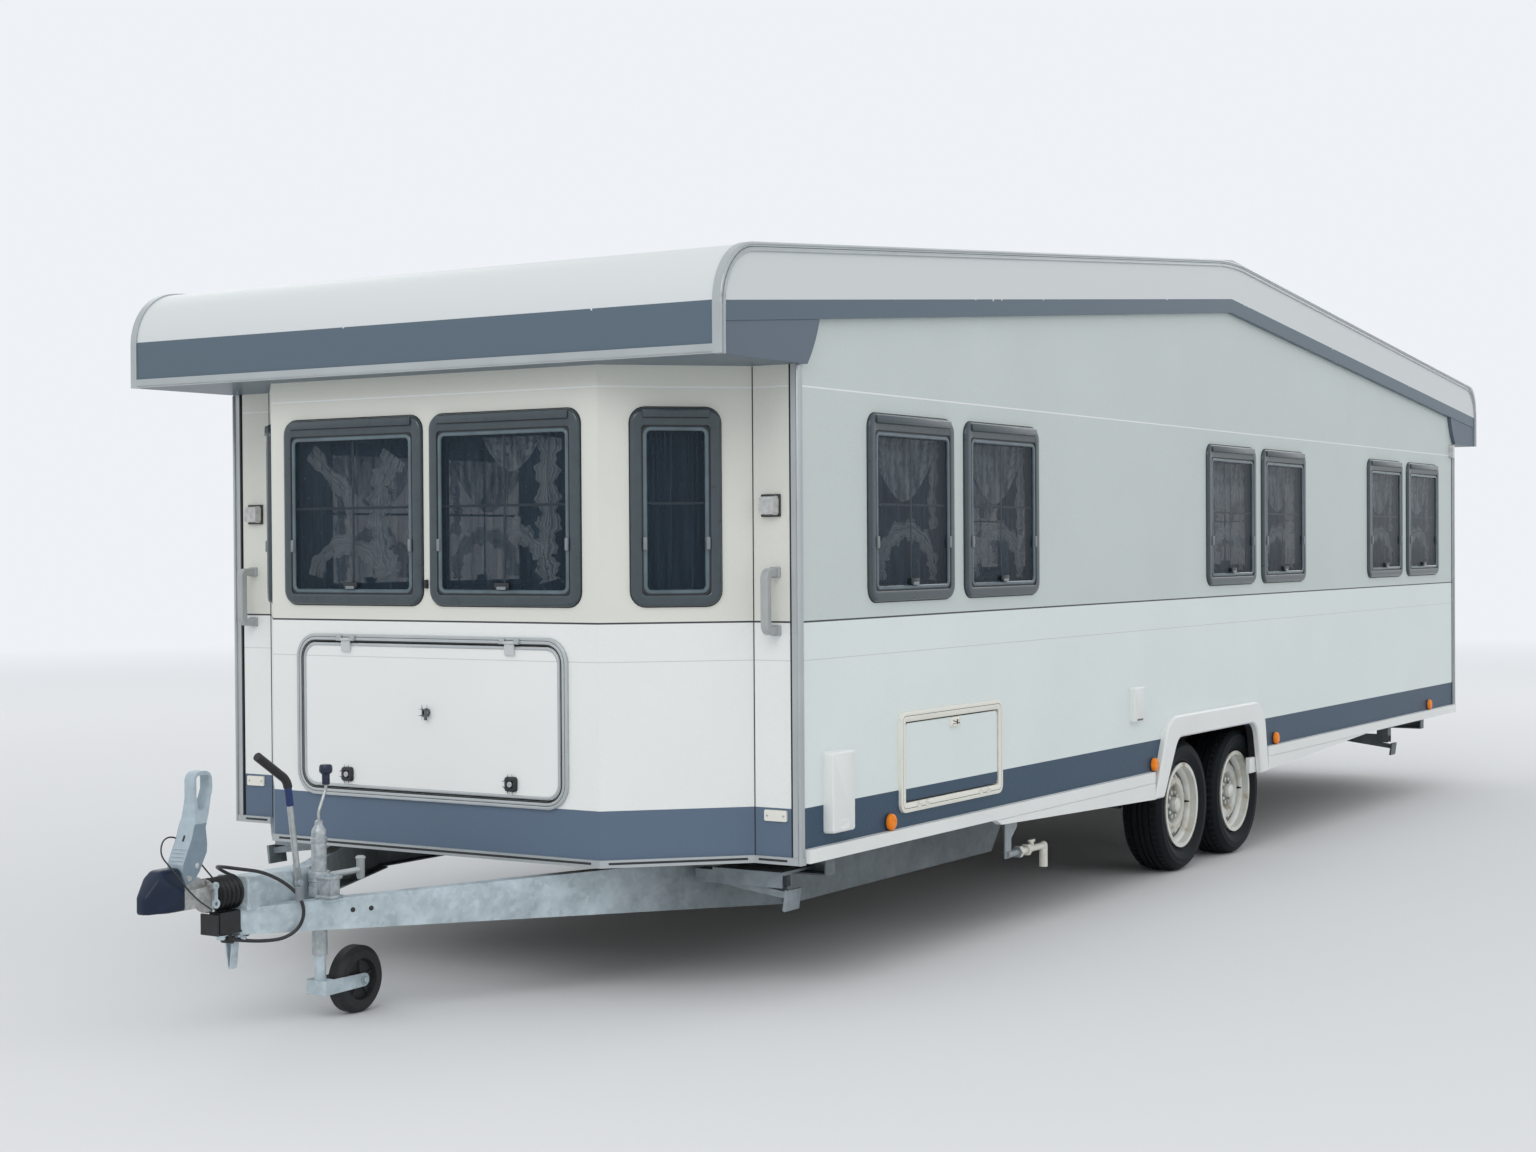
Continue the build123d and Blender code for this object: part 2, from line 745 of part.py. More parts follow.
# Roof fittings: two low rooflights and the heater's flue
with BuildPart() as roof_fittings:
    for x, y, size in ((1500, 0, 400), (-2500, 250, 500)):
        lean = roof_slope if x > ridge_x else -roof_slope
        base = Plane(
            origin=(x, y, roof_height(x, 0)),
            x_dir=(cos(radians(lean)), 0, -sin(radians(lean))),
            z_dir=(sin(radians(lean)), 0, cos(radians(lean))),
        )
        with BuildSketch(base):
            RectangleRounded(size, size, 50)
        extrude(amount=45, taper=14)
    flue_x = -3300
    flue_base = Plane(
        origin=(flue_x, 700, roof_height(flue_x, 0)),
        x_dir=(cos(radians(roof_slope)), 0, sin(radians(roof_slope))),
        z_dir=(-sin(radians(roof_slope)), 0, cos(radians(roof_slope))),
    )
    with BuildSketch(flue_base):
        Circle(55)
    extrude(amount=30, taper=12)
    with BuildSketch(flue_base.offset(25)):
        Circle(38)
    extrude(amount=75)
    with BuildSketch(flue_base.offset(80)):
        Circle(62)
    extrude(amount=28, taper=20)
keep(roof_fittings, "roof_fittings")


# Chassis: two channel rails, cross members and outriggers
def rail_side(inset):
    """Side outline of a rail, moved inwards from its flanges by inset."""
    with BuildLine() as outline:
        Polyline(
            (rail_front_x, rail_bottom_z + inset),
            (rail_front_x, floor_z - inset),
            (rail_rear_x, floor_z - inset),
            (rail_rear_x, rail_rear_bottom_z + inset),
            (rail_step_x - 120, rail_rear_bottom_z + inset),
            (rail_step_x, rail_bottom_z + inset),
            close=True,
        )
    make_face(outline.edges())


cross_member_x = (2500, 1150, -1500, -2900, -4250)
with BuildPart() as chassis:
    for side in (1, -1):
        with BuildSketch(Plane.XZ.offset(-side * rail_outer_y)):
            rail_side(0)
        extrude(amount=side * rail_flange)
        with BuildSketch(Plane.XZ.offset(-side * (rail_outer_y - steel))):
            rail_side(steel)
        extrude(amount=side * rail_flange, mode=Mode.SUBTRACT)
    for x in cross_member_x:
        with BuildSketch(Plane.YZ.offset(x - 20)):
            with Locations((0, floor_z - 32)):
                Rectangle(2 * (rail_outer_y - steel), 64)
                Rectangle(2 * rail_outer_y, 64 - 2 * steel, mode=Mode.SUBTRACT)
        extrude(amount=40)
        with BuildSketch(Plane.YZ.offset(x - 20)):
            with Locations((0, floor_z - 32)):
                Rectangle(2 * (rail_outer_y - steel), 64)
        extrude(amount=steel)
keep(chassis, "chassis")

# Drawbar: two tapered channels that meet under the overrun device
beam_run = hypot(beam_tip[0] - beam_root[0], beam_tip[1] - beam_root[1])
beam_dir = ((beam_root[0] - beam_tip[0]) / beam_run, (beam_root[1] - beam_tip[1]) / beam_run)
beam_plane = Plane(
    origin=(beam_tip[0], beam_tip[1], 0),
    x_dir=(beam_dir[0], beam_dir[1], 0),
    z_dir=(beam_dir[1], -beam_dir[0], 0),
)
clamp_pad_z = 393
tube_x = 4200
tube_y = 95
with BuildPart() as drawbar:
    with BuildSketch(beam_plane):
        with BuildLine():
            Polyline(
                (0, beam_tip_z[0]),
                (beam_run, beam_root_z[0]),
                (beam_run, beam_root_z[1]),
                (0, beam_tip_z[1]),
                close=True,
            )
        make_face()
    extrude(amount=-beam_flange)
    with BuildSketch(beam_plane.offset(-steel)):
        with BuildLine():
            Polyline(
                (0, beam_tip_z[0] + steel),
                (beam_run, beam_root_z[0] + steel),
                (beam_run, beam_root_z[1] - steel),
                (0, beam_tip_z[1] - steel),
                close=True,
            )
        make_face()
    extrude(amount=-beam_flange, mode=Mode.SUBTRACT)
    mirror(about=Plane.XZ)
    with BuildSketch(Plane.XY.offset(beam_tip_z[0])):
        with Locations((beam_tip[0] - 5, 0)):
            Rectangle(10, 2 * beam_tip[1])
    extrude(amount=beam_tip_z[1] - beam_tip_z[0])
    with BuildSketch(Plane.XY.offset(beam_tip_z[1] - 4)):
        with Locations((4334, 0)):
            Rectangle(288, 120)
    extrude(amount=9)
    with BuildSketch(Plane.XY.offset(beam_tip_z[1])):
        with Locations((tube_x + 20, 165)):
            Rectangle(70, 50)
    extrude(amount=clamp_pad_z - beam_tip_z[1])

    # Plate under the tip, with a folded V that guards the parked plug
    with BuildSketch(Plane.XY.offset(beam_tip_z[0] - 4)):
        with Locations((4468, 0)):
            Rectangle(56, 76)
    extrude(amount=4)
    with BuildSketch(Plane.YZ.offset(4468)):
        with BuildLine():
            Polyline(
                (-18, 304),
                (-5, 200),
                (5, 200),
                (18, 304),
                (13, 304),
                (2, 206),
                (-2, 206),
                (-13, 304),
                close=True,
            )
        make_face()
    extrude(amount=28)
    with BuildSketch(Plane.XY):
        with Locations((rail_front_x + 1000, 0)):
            Rectangle(2000, 3000)
    extrude(amount=1000, mode=Mode.INTERSECT)
keep(drawbar, "drawbar")

# Axles: a round tube on two brackets, with a trailing arm and a stub at each end
axle_tube_z = 325
axle_tube_radius = 44
arm_length = 150
arm_y = (955, 985)
stub_end_y = 1100
for axle_name, wheel_x in zip(("front_axle", "rear_axle"), axle_x):
    tube_centre_x = wheel_x + arm_length
    with BuildPart() as axle:
        with BuildSketch(Plane.XZ):
            with Locations((tube_centre_x, axle_tube_z)):
                Circle(axle_tube_radius)
        extrude(amount=arm_y[0], both=True)
        for side in (1, -1):
            with BuildSketch(Plane.XZ.offset(-side * (rail_outer_y - rail_flange))):
                with Locations((tube_centre_x, (axle_tube_z + rail_rear_bottom_z) / 2)):
                    Rectangle(120, rail_rear_bottom_z - axle_tube_z)
            extrude(amount=-side * rail_flange)
            with BuildSketch(Plane.XZ.offset(-side * arm_y[0])):
                with BuildLine():
                    Polyline(
                        (tube_centre_x + 34, axle_tube_z + 30),
                        (tube_centre_x + 34, axle_tube_z - 30),
                        (wheel_x - 30, tyre_radius - 30),
                        (wheel_x - 30, tyre_radius + 30),
                        close=True,
                    )
                make_face()
            extrude(amount=-side * (arm_y[1] - arm_y[0]))
            with BuildSketch(Plane.XZ.offset(-side * arm_y[1])):
                with Locations((wheel_x, tyre_radius)):
                    Circle(stub_radius)
            extrude(amount=-side * (stub_end_y - arm_y[1]))
        fillet(axle.edges().filter_by(Axis.Y).group_by(Axis.X)[0], 20)
    keep(axle, axle_name)

# Road wheels: tyre, then rim with brake drum and hub as one turning piece
rim_radius = 178
rim_flange_radius = 191
rim_seat_inset = 12
rim_half = 82
vent_count = 16
vent_ring = 133
for axle_word, wheel_x in zip(("front", "rear"), axle_x):
    for side_word, side in (("left", 1), ("right", -1)):
        centre_y = side * wheel_y
        hub = Plane(origin=(wheel_x, centre_y, tyre_radius), x_dir=(1, 0, 0), z_dir=(0, side, 0))
        section = Plane(origin=hub.origin, x_dir=(1, 0, 0), z_dir=(0, 0, 1))
        half = tyre_width / 2
        with BuildPart() as tyre:
            with BuildSketch(section):
                with BuildLine():
                    Polyline(
                        (rim_radius + 0.3, -rim_half + rim_seat_inset),
                        (rim_radius + 14, -rim_half + rim_seat_inset),
                        (240, -half),
                        (262, -half),
                        (288, -half + 22),
                        (tyre_radius, -half + 40),
                        (tyre_radius, half - 40),
                        (288, half - 22),
                        (262, half),
                        (240, half),
                        (rim_radius + 14, rim_half - rim_seat_inset),
                        (rim_radius + 0.3, rim_half - rim_seat_inset),
                        (rim_radius + 0.3, 52),
                        (215, 66),
                        (265, 66),
                        (283, 40),
                        (283, -40),
                        (265, -66),
                        (215, -66),
                        (rim_radius + 0.3, -52),
                        close=True,
                    )
                make_face()
            revolve(axis=Axis(hub.origin, (0, 1, 0)))
        keep(tyre, f"{axle_word}_{side_word}_tyre")

        with BuildPart() as rim:
            with BuildSketch(section):
                with BuildLine():
                    Polyline(
                        (rim_flange_radius, -rim_half),
                        (rim_flange_radius, -rim_half + 6),
                        (rim_radius, -rim_half + rim_seat_inset - 1),
                        (rim_radius, -48),
                        (156, -34),
                        (156, 30),
                        (rim_radius, 48),
                        (rim_radius, rim_half - rim_seat_inset + 1),
                        (rim_flange_radius, rim_half - 6),
                        (rim_flange_radius, rim_half),
                        (rim_radius - 5, rim_half),
                        (rim_radius - 5, 52),
                        (151, 34),
                        (151, -38),
                        (rim_radius - 5, -52),
                        (rim_radius - 5, -rim_half),
                        close=True,
                    )
                make_face()
            revolve(axis=Axis(hub.origin, (0, 1, 0)))
            with BuildSketch(section):
                with BuildLine():
                    Polyline(
                        (152, side * 12),
                        (152, side * 24),
                        (128, side * 42),
                        (96, side * 46),
                        (74, side * 26),
                        (34, side * 26),
                        (30, side * 58),
                        (0, side * 58),
                        (0, side * 8),
                        (74, side * 8),
                        (96, side * 38),
                        (126, side * 34),
                        close=True,
                    )
                make_face()
            revolve(axis=Axis(hub.origin, (0, 1, 0)))
            with BuildSketch(hub.offset(60)):
                with PolarLocations(vent_ring, vent_count):
                    Circle(11)
            extrude(amount=-60, mode=Mode.SUBTRACT)
            with BuildSketch(hub.offset(26)):
                with PolarLocations(56, 5):
                    RegularPolygon(11, 6)
            extrude(amount=14)
            with BuildSketch(hub.offset(12)):
                Circle(112)
            extrude(amount=-72)
            with BuildSketch(hub.offset(-70)):
                Circle(stub_radius + stub_clearance)
            extrude(amount=(stub_end_y - wheel_y) + 70 + 2, mode=Mode.SUBTRACT)
            with BuildSketch(hub.offset(-70)):
                Circle(106)
                Circle(46, mode=Mode.SUBTRACT)
            extrude(amount=52, mode=Mode.SUBTRACT)
        keep(rim, f"{axle_word}_{side_word}_rim")

# Corner steadies: an arm that folds up into a channel across the caravan. The front pair
# hangs from a cross bar that lies on the drawbar, and the rear pair from two outriggers.
cross_bar_z = 421
outrigger_z = 380
outrigger_half = 30
outrigger_plate = 6
steady_length = 350
steady_tilt = 8
steady_pin = 8
steady_half = 20
channel_half = 30
channel_wall = 4
channel_above = 24
channel_below = 20
channel_length = 322
# Name, x, side, y and height of the pin, x of the outrigger, and its inner end
steady_table = (
    ("front_left_steady", 3100, 1, 815, 372, 2950, 864),
    ("front_right_steady", 3100, -1, 815, 372, 2950, 864),
    ("rear_left_steady", -3900, 1, 700, 312, -3900, 951),
    ("rear_right_steady", -3900, -1, 700, 312, -3900, 951),
)
with BuildPart() as steady_brackets:
    bar_end_y = half_width - wall - 2
    front_bar_x = steady_table[0][5]
    with BuildSketch(Plane.XY.offset(cross_bar_z)):
        with Locations((front_bar_x, 0)):
            Rectangle(2 * outrigger_half, 2 * bar_end_y)
    extrude(amount=floor_z - cross_bar_z)
    for _, x, side, pivot_y, pivot_z, bar_x, bar_start_y in steady_table:
        bar_y = side * (bar_start_y + bar_end_y) / 2
        bar_length = bar_end_y - bar_start_y
        with BuildSketch(Plane.XY.offset(outrigger_z)):
            with Locations((bar_x, bar_y)):
                Rectangle(2 * outrigger_half, bar_length)
        extrude(amount=floor_z - outrigger_z)
        with BuildSketch(Plane.XY.offset(outrigger_z + outrigger_plate)):
            with Locations((bar_x + outrigger_plate, side * (bar_start_y + bar_end_y - outrigger_plate) / 2)):
                Rectangle(2 * outrigger_half, bar_length - outrigger_plate)
        extrude(amount=cross_bar_z - outrigger_z - outrigger_plate, mode=Mode.SUBTRACT)

        # Channel of the steady, open below, with the pin across its inner end
        channel_start_y = pivot_y - channel_below
        channel_end_y = pivot_y + channel_length
        channel_y = side * (channel_start_y + channel_end_y) / 2
        with BuildSketch(Plane.XY.offset(pivot_z - channel_below)):
            with Locations((x, channel_y)):
                Rectangle(2 * channel_half, channel_end_y - channel_start_y)
        extrude(amount=channel_below + channel_above)
        with BuildSketch(Plane.XY.offset(pivot_z - channel_below)):
            with Locations((x, channel_y)):
                Rectangle(2 * (channel_half - channel_wall), channel_end_y - channel_start_y)
        extrude(amount=channel_below + channel_above - channel_wall, mode=Mode.SUBTRACT)
        with BuildSketch(Plane.YZ.offset(x - channel_half)):
            with Locations((side * pivot_y, pivot_z)):
                Circle(steady_pin)
        extrude(amount=2 * channel_half)

        # Plate or hanger that joins the channel to its outrigger
        channel_top_z = pivot_z + channel_above
        if bar_x < x:
            plate_x = (bar_x - outrigger_half + x + channel_half) / 2
            with BuildSketch(Plane.XY.offset(channel_top_z - 1)):
                with Locations((plate_x, side * (bar_start_y + channel_end_y) / 2)):
                    Rectangle(x + channel_half - bar_x + outrigger_half, channel_end_y - bar_start_y)
            extrude(amount=9)
        else:
            with BuildSketch(Plane.XY.offset(channel_top_z - 1)):
                with Locations((x, side * (bar_start_y + 4 + channel_end_y) / 2)):
                    Rectangle(2 * outrigger_half, channel_end_y - bar_start_y - 4)
            extrude(amount=outrigger_z - channel_top_z + 2)
keep(steady_brackets, "steady_brackets")

for steady_name, x, side, pivot_y, pivot_z, _, _ in steady_table:
    with BuildPart() as steady:
        arm_plane = Plane(
            origin=(x, side * pivot_y, pivot_z),
            x_dir=(0, side * cos(radians(steady_tilt)), -sin(radians(steady_tilt))),
            z_dir=(side, 0, 0),
        )
        with BuildSketch(arm_plane.offset(-steady_half)):
            Circle(14)
            with BuildLine():
                Polyline((0, -12), (steady_length, -8), (steady_length, 14), (0, 14), close=True)
            make_face()
        extrude(amount=2 * steady_half)
        with BuildSketch(arm_plane.offset(-steady_half + 4)):
            with BuildLine():
                Polyline((20, -30), (steady_length - 6, -30), (steady_length - 6, 10), (20, 10), close=True)
            make_face()
        extrude(amount=2 * steady_half - 8, mode=Mode.SUBTRACT)
        with BuildSketch(arm_plane.offset(-steady_half)):
            Circle(steady_pin + 0.06)
        extrude(amount=2 * steady_half, mode=Mode.SUBTRACT)
        with BuildSketch(arm_plane.offset(-45)):
            with Locations((steady_length - 3, -10)):
                Rectangle(10, 70)
        extrude(amount=90)
    keep(steady, steady_name)

# Waste drain: a valve and an elbow on a hanging bracket behind the left skirt
drain_y = 1200
drain_z = 285
drain_plate_x = (1505, 1607)
elbow_x = 1262
with BuildPart() as drain:
    with BuildSketch(Plane.XZ.offset(-drain_y + 3)):
        with BuildLine():
            Polyline(
                (drain_plate_x[1], sill_z),
                (drain_plate_x[0], sill_z),
                (drain_plate_x[0], 385),
                (1555, 345),
                (1555, drain_z - 14),
                (drain_plate_x[1], drain_z - 14),
                close=True,
            )
        make_face()
    extrude(amount=-6)
    with BuildSketch(Plane.YZ.offset(1590)):
        with Locations((drain_y, drain_z)):
            Circle(13)
    extrude(amount=elbow_x - 1590)
    for x, across, length in ((1475, 24, 26), (1405, 24, 22)):
        with BuildSketch(Plane.YZ.offset(x)):
            with Locations((drain_y, drain_z)):
                RegularPolygon(across, 6)
        extrude(amount=length)
    with BuildSketch(Plane.XY.offset(drain_z)):
        with Locations((1370, drain_y)):
            Circle(10)
    extrude(amount=32)
    with BuildSketch(Plane.XY.offset(drain_z + 26)):
        with Locations((1370, drain_y)):
            RectangleRounded(46, 14, 5)
    extrude(amount=9)
    with BuildSketch(Plane.XY.offset(drain_z)):
        with Locations((elbow_x, drain_y)):
            Circle(17)
    extrude(amount=-84)
    with Locations((elbow_x, drain_y, drain_z)):
        Sphere(17)
keep(drain, "drain_valve")

# Overrun device: housing on the drawbar, pull tube and bellows
housing_rear_x = 4192
housing_front_x = 4480
housing_half = 60
housing_z = (390, 478)
pull_radius = 25
lever_y = 68
lever_pivot = (4262, 440)
lever_pin = 6
wire_start = Vector(4486, -72, 470)
wire_second = Vector(4530, -66, 508)
lead_start = Vector(4262, -82, 440)
lead_second = Vector(4330, -84, 447)
with BuildPart() as housing:
    with BuildSketch(Plane.YZ.offset(housing_rear_x)):
        with Locations((0, (housing_z[0] + housing_z[1]) / 2)):
            Rectangle(2 * housing_half, housing_z[1] - housing_z[0])
    extrude(amount=housing_front_x - housing_rear_x)
    fillet(housing.edges().filter_by(Axis.X).group_by(Axis.Z)[-1], 26)
    with BuildSketch(Plane.YZ.offset(housing_front_x - 8)):
        with Locations((0, pull_z)):
            RectangleRounded(2 * housing_half + 10, 2 * (pull_z - housing_z[0]), 14)
    extrude(amount=8)
    with BuildSketch(Plane.YZ.offset(housing_rear_x - 60)):
        with Locations((0, pull_z - 4)):
            Circle(18)
    extrude(amount=60)

    # Pin of the brake lever, eye of the breakaway cable and gland of the lead
    with BuildSketch(Plane.XZ.offset(-housing_half)):
        with Locations(lever_pivot):
            Circle(lever_pin)
    extrude(amount=-(lever_y + 9 - housing_half))
    with BuildSketch(Plane.XZ.offset(-(lever_y + 5.5))):
        with Locations(lever_pivot):
            Circle(10)
    extrude(amount=-4)
    with BuildSketch(Plane(origin=wire_start, z_dir=wire_start - wire_second)):
        Circle(5)
    extrude(amount=14)
    with BuildSketch(Plane.YZ.offset(housing_front_x - 8)):
        with Locations((-70, 460)):
            Rectangle(14, 16)
    extrude(amount=12)
    with BuildSketch(Plane(origin=lead_start, z_dir=lead_start - lead_second)):
        Circle(10)
    extrude(amount=34)
    with BuildSketch(Plane.XY.offset(424)):
        with Locations((4243, -68)):
            Rectangle(26, 17)
    extrude(amount=26)
keep(housing, "overrun_housing")

coupling_rear_x = 4590
pleat_count = 6
bellows_inner = 34
bellows_outer = 52
bellows_wall = 4
with BuildPart() as bellows:
    pitch = (coupling_rear_x - housing_front_x) / pleat_count
    with BuildSketch(Plane.XZ):
        with BuildLine():
            outer_points = []
            inner_points = []
            for step in range(2 * pleat_count + 1):
                x = housing_front_x + step * pitch / 2
                radius = bellows_outer if step % 2 == 0 else bellows_inner + bellows_wall
                outer_points.append((x, pull_z + radius))
                inner_points.append((x, pull_z + radius - bellows_wall))
            Polyline(*outer_points, *reversed(inner_points), close=True)
        make_face()
    revolve(axis=Axis((0, 0, pull_z), (1, 0, 0)))
keep(bellows, "bellows")

# Ball coupling: cast body on the pull tube, with the ball socket in its nose
ball_x = 4765
ball_radius = 25
socket_clearance = 0.3
socket_floor_z = 462
coupling_bottom_z = 412
handle_pivot = (4689, 504)
pivot_radius = 8
tower_half = 24
with BuildPart() as coupling:
    with BuildSketch(Plane.YZ.offset(housing_front_x)):
        with Locations((0, pull_z)):
            Circle(pull_radius)
    extrude(amount=coupling_rear_x - housing_front_x + 40)
    with BuildSketch(Plane.YZ.offset(coupling_rear_x)):
        with Locations((0, pull_z)):
            Circle(bellows_outer - 2)
    extrude(amount=10)
    with BuildSketch(Plane.XZ):
        with BuildLine():
            Polyline(
                (coupling_rear_x + 8, coupling_bottom_z),
                (coupling_rear_x + 8, 468),
                (4716, 470),
                (4722, 482),
                (ball_x, 482),
                (ball_x, coupling_bottom_z),
                close=True,
            )
        make_face()
    extrude(amount=38, both=True)
    with BuildSketch(Plane.XY.offset(coupling_bottom_z)):
        with Locations((ball_x, 0)):
            Circle(38)
    extrude(amount=482 - coupling_bottom_z)
    with BuildSketch(Plane.XZ):
        with Locations(handle_pivot):
            Circle(20)
        with Locations((handle_pivot[0], handle_pivot[1] - 20)):
            Rectangle(40, 40)
    extrude(amount=tower_half, both=True)
    with BuildSketch(Plane.XZ):
        with BuildLine():
            Polyline((4604, 460), (4612, 488), (4640, 502), (4674, 502), (4674, 460), close=True)
        make_face()
    extrude(amount=18, both=True)
    with BuildSketch(Plane.XZ):
        with Locations(handle_pivot):
            Circle(pivot_radius)
    extrude(amount=38, both=True)
    with BuildSketch(Plane.XY.offset(coupling_bottom_z)):
        with Locations((ball_x, 0)):
            Circle(ball_radius + socket_clearance)
    extrude(amount=socket_floor_z - coupling_bottom_z, mode=Mode.SUBTRACT)
    with BuildSketch(Plane.XZ.offset(-38)):
        with Locations((4606, 474)):
            Circle(3)
    extrude(amount=-30)
    with BuildSketch(Plane.XZ.offset(-30)):
        with Locations((4606, 470)):
            Rectangle(12, 16)
    extrude(amount=-24)
keep(coupling, "coupling_head")

# Soft cap over the coupling's nose
cap_tip_x = 4847
cap_half = 48
cap_gap = 0.3
with BuildPart() as cap:
    with BuildSketch(Plane.XZ):
        with BuildLine():
            Polyline(
                (4712, 412),
                (4835, 411),
                (cap_tip_x, 422),
                (cap_tip_x, 458),
                (4796, 538),
                (4730, 536),
                close=True,
            )
        make_face()
    extrude(amount=cap_half, both=True)
    fillet(cap.edges().filter_by(Axis.Z).group_by(Axis.X)[-1], 42)
    fillet(cap.edges().filter_by(Axis.Y).group_by(Axis.Z)[-1], 8)
    with BuildSketch(Plane.XY.offset(400)):
        with Locations((ball_x, 0)):
            Circle(38 + cap_gap)
        with Locations((ball_x - 50, 0)):
            Rectangle(100, 2 * (38 + cap_gap))
    extrude(amount=482 + cap_gap - 400, mode=Mode.SUBTRACT)
    with BuildSketch(Plane.XY.offset(400)):
        with Locations((4709, 0)):
            Rectangle(60, 2 * (tower_half + 12))
    extrude(amount=200, mode=Mode.SUBTRACT)
keep(cap, "nose_cap")

# Stabiliser handle: two cheeks on the pivot, a front shell and a narrower looped grip
cheek_half = 33
cheek_inner = tower_half + 1.5
grip_half = 20
with BuildPart() as handle:
    with BuildSketch(Plane.XZ) as side_view:
        with BuildLine():
            Polyline(
                (4709, 546),
                (4674, 620),
                (4655, 680),
                (4651, 720),
                (4651, 816),
                (4577, 816),
                (4577, 757),
                (4600, 690),
                (4618, 650),
                (4612, 600),
                (4614, 575),
                (4644, 520),
                (4664, 496),
                (4697, 485),
                (4709, 505),
                close=True,
            )
        make_face()
        fillet(side_view.vertices().group_by(Axis.Y)[-1], 30)
    extrude(amount=cheek_half, both=True)
    for side in (1, -1):
        with BuildSketch(Plane.YZ.offset(4560)):
            with BuildLine():
                Polyline(
                    (side * (cheek_half + 1), 650),
                    (side * (cheek_half + 1), 830),
                    (side * grip_half, 830),
                    (side * grip_half, 740),
                    close=True,
                )
            make_face()
        extrude(amount=120, mode=Mode.SUBTRACT)
    with BuildSketch(Plane.XZ):
        with BuildLine():
            Polyline(
                (4700, 470),
                (4702, 540),
                (4668, 626),
                (4560, 640),
                (4560, 470),
                close=True,
            )
        make_face()
        with Locations(handle_pivot):
            Circle(27)
    extrude(amount=cheek_inner, both=True, mode=Mode.SUBTRACT)
    with BuildSketch(Plane.XZ) as grip_slot:
        with BuildLine():
            Polyline((4641, 804), (4641, 699), (4611, 699), (4588, 762), (4588, 804), close=True)
        make_face()
        fillet(grip_slot.vertices(), 12)
    extrude(amount=cheek_half, both=True, mode=Mode.SUBTRACT)
    with BuildSketch(Plane.XZ):
        with Locations(handle_pivot):
            Circle(pivot_radius + 0.06)
    extrude(amount=cheek_half + 1, both=True, mode=Mode.SUBTRACT)
keep(handle, "coupling_handle")

# Handbrake lever on the left of the housing, bent forward at the grip
with BuildPart() as lever:
    with BuildSketch(Plane.XZ.offset(-lever_y - 5)):
        with Locations(lever_pivot):
            Circle(16)
        with BuildLine():
            Polyline((4250, 446), (4274, 434), (4284, 500), (4264, 502), close=True)
        make_face()
    extrude(amount=10)
    with BuildLine():
        FilletPolyline(
            (4271, lever_y, 490),
            (4298, lever_y, 685),
            (4310, lever_y, 763),
            (4436, lever_y, 846),
            radius=50,
        )
    with BuildSketch(Plane(origin=(4271, lever_y, 490), z_dir=(27, 0, 195))):
        Circle(10)
    sweep(path=lever.pending_edges_as_wire)
    with BuildSketch(Plane.XZ.offset(-lever_y - 6)):
        with Locations(lever_pivot):
            Circle(lever_pin + 0.06)
    extrude(amount=12, mode=Mode.SUBTRACT)
keep(lever, "handbrake_lever")

# Jockey wheel: clamp on the drawbar, sliding tube, swivelling leg and wheel
tube_radius = 24
tube_bore = 19.06
leg_radius = 19
clamp_gap = 0.06
clamp_z = (clamp_pad_z, 470)
clamp_rod_z = 452
with BuildPart() as clamp:
    with BuildSketch(Plane.XY.offset(clamp_z[0])):
        with Locations((tube_x, tube_y)):
            Circle(tube_radius + 10)
        with Locations((tube_x + 20, 155)):
            Rectangle(60, 66)
        with Locations((tube_x, tube_y)):
            Circle(tube_radius + clamp_gap, mode=Mode.SUBTRACT)
    extrude(amount=clamp_z[1] - clamp_z[0])
    with BuildSketch(Plane.YZ.offset(tube_x - tube_radius - 8)):
        with Locations((tube_y, clamp_rod_z)):
            Circle(10)
    extrude(amount=-158)
    with BuildSketch(Plane.XY.offset(clamp_rod_z - 32)):
        with Locations((tube_x - tube_radius - 166, tube_y)):
            Circle(12)
    extrude(amount=70)
keep(clamp, "jockey_clamp")

tube_top_z = 596
tube_bottom_z = 208
knob_x = tube_x - 34
with BuildPart() as tube:
    with BuildSketch(Plane.XY.offset(tube_bottom_z)):
        with Locations((tube_x, tube_y)):
            Circle(tube_radius)
    extrude(amount=tube_top_z - tube_bottom_z)
    with BuildSketch(Plane.XY.offset(tube_top_z)):
        with Locations((tube_x, tube_y)):
            Circle(tube_radius)
    extrude(amount=22, taper=34)
    with BuildSketch(Plane.XY.offset(tube_bottom_z - 1)):
        with Locations((tube_x, tube_y)):
            Circle(tube_bore)
    extrude(amount=tube_top_z - tube_bottom_z - 30, mode=Mode.SUBTRACT)
    with BuildLine():
        FilletPolyline(
            (tube_x, tube_y, tube_top_z + 16),
            (tube_x, tube_y, 655),
            (knob_x, tube_y, 725),
            (knob_x, tube_y, 748),
            radius=10,
        )
    with BuildSketch(Plane.XY.offset(tube_top_z + 16)):
        with Locations((tube_x, tube_y)):
            Circle(5)
    sweep(path=tube.pending_edges_as_wire)
    with BuildSketch(Plane.XY.offset(740)):
        with Locations((knob_x, tube_y)):
            Circle(12)
    extrude(amount=42)
    with BuildSketch(Plane.XY.offset(776)):
        with Locations((knob_x, tube_y)):
            Circle(21)
    extrude(amount=26)
    fillet(tube.edges().group_by(Axis.Z)[-1], 6)
keep(tube, "jockey_tube")

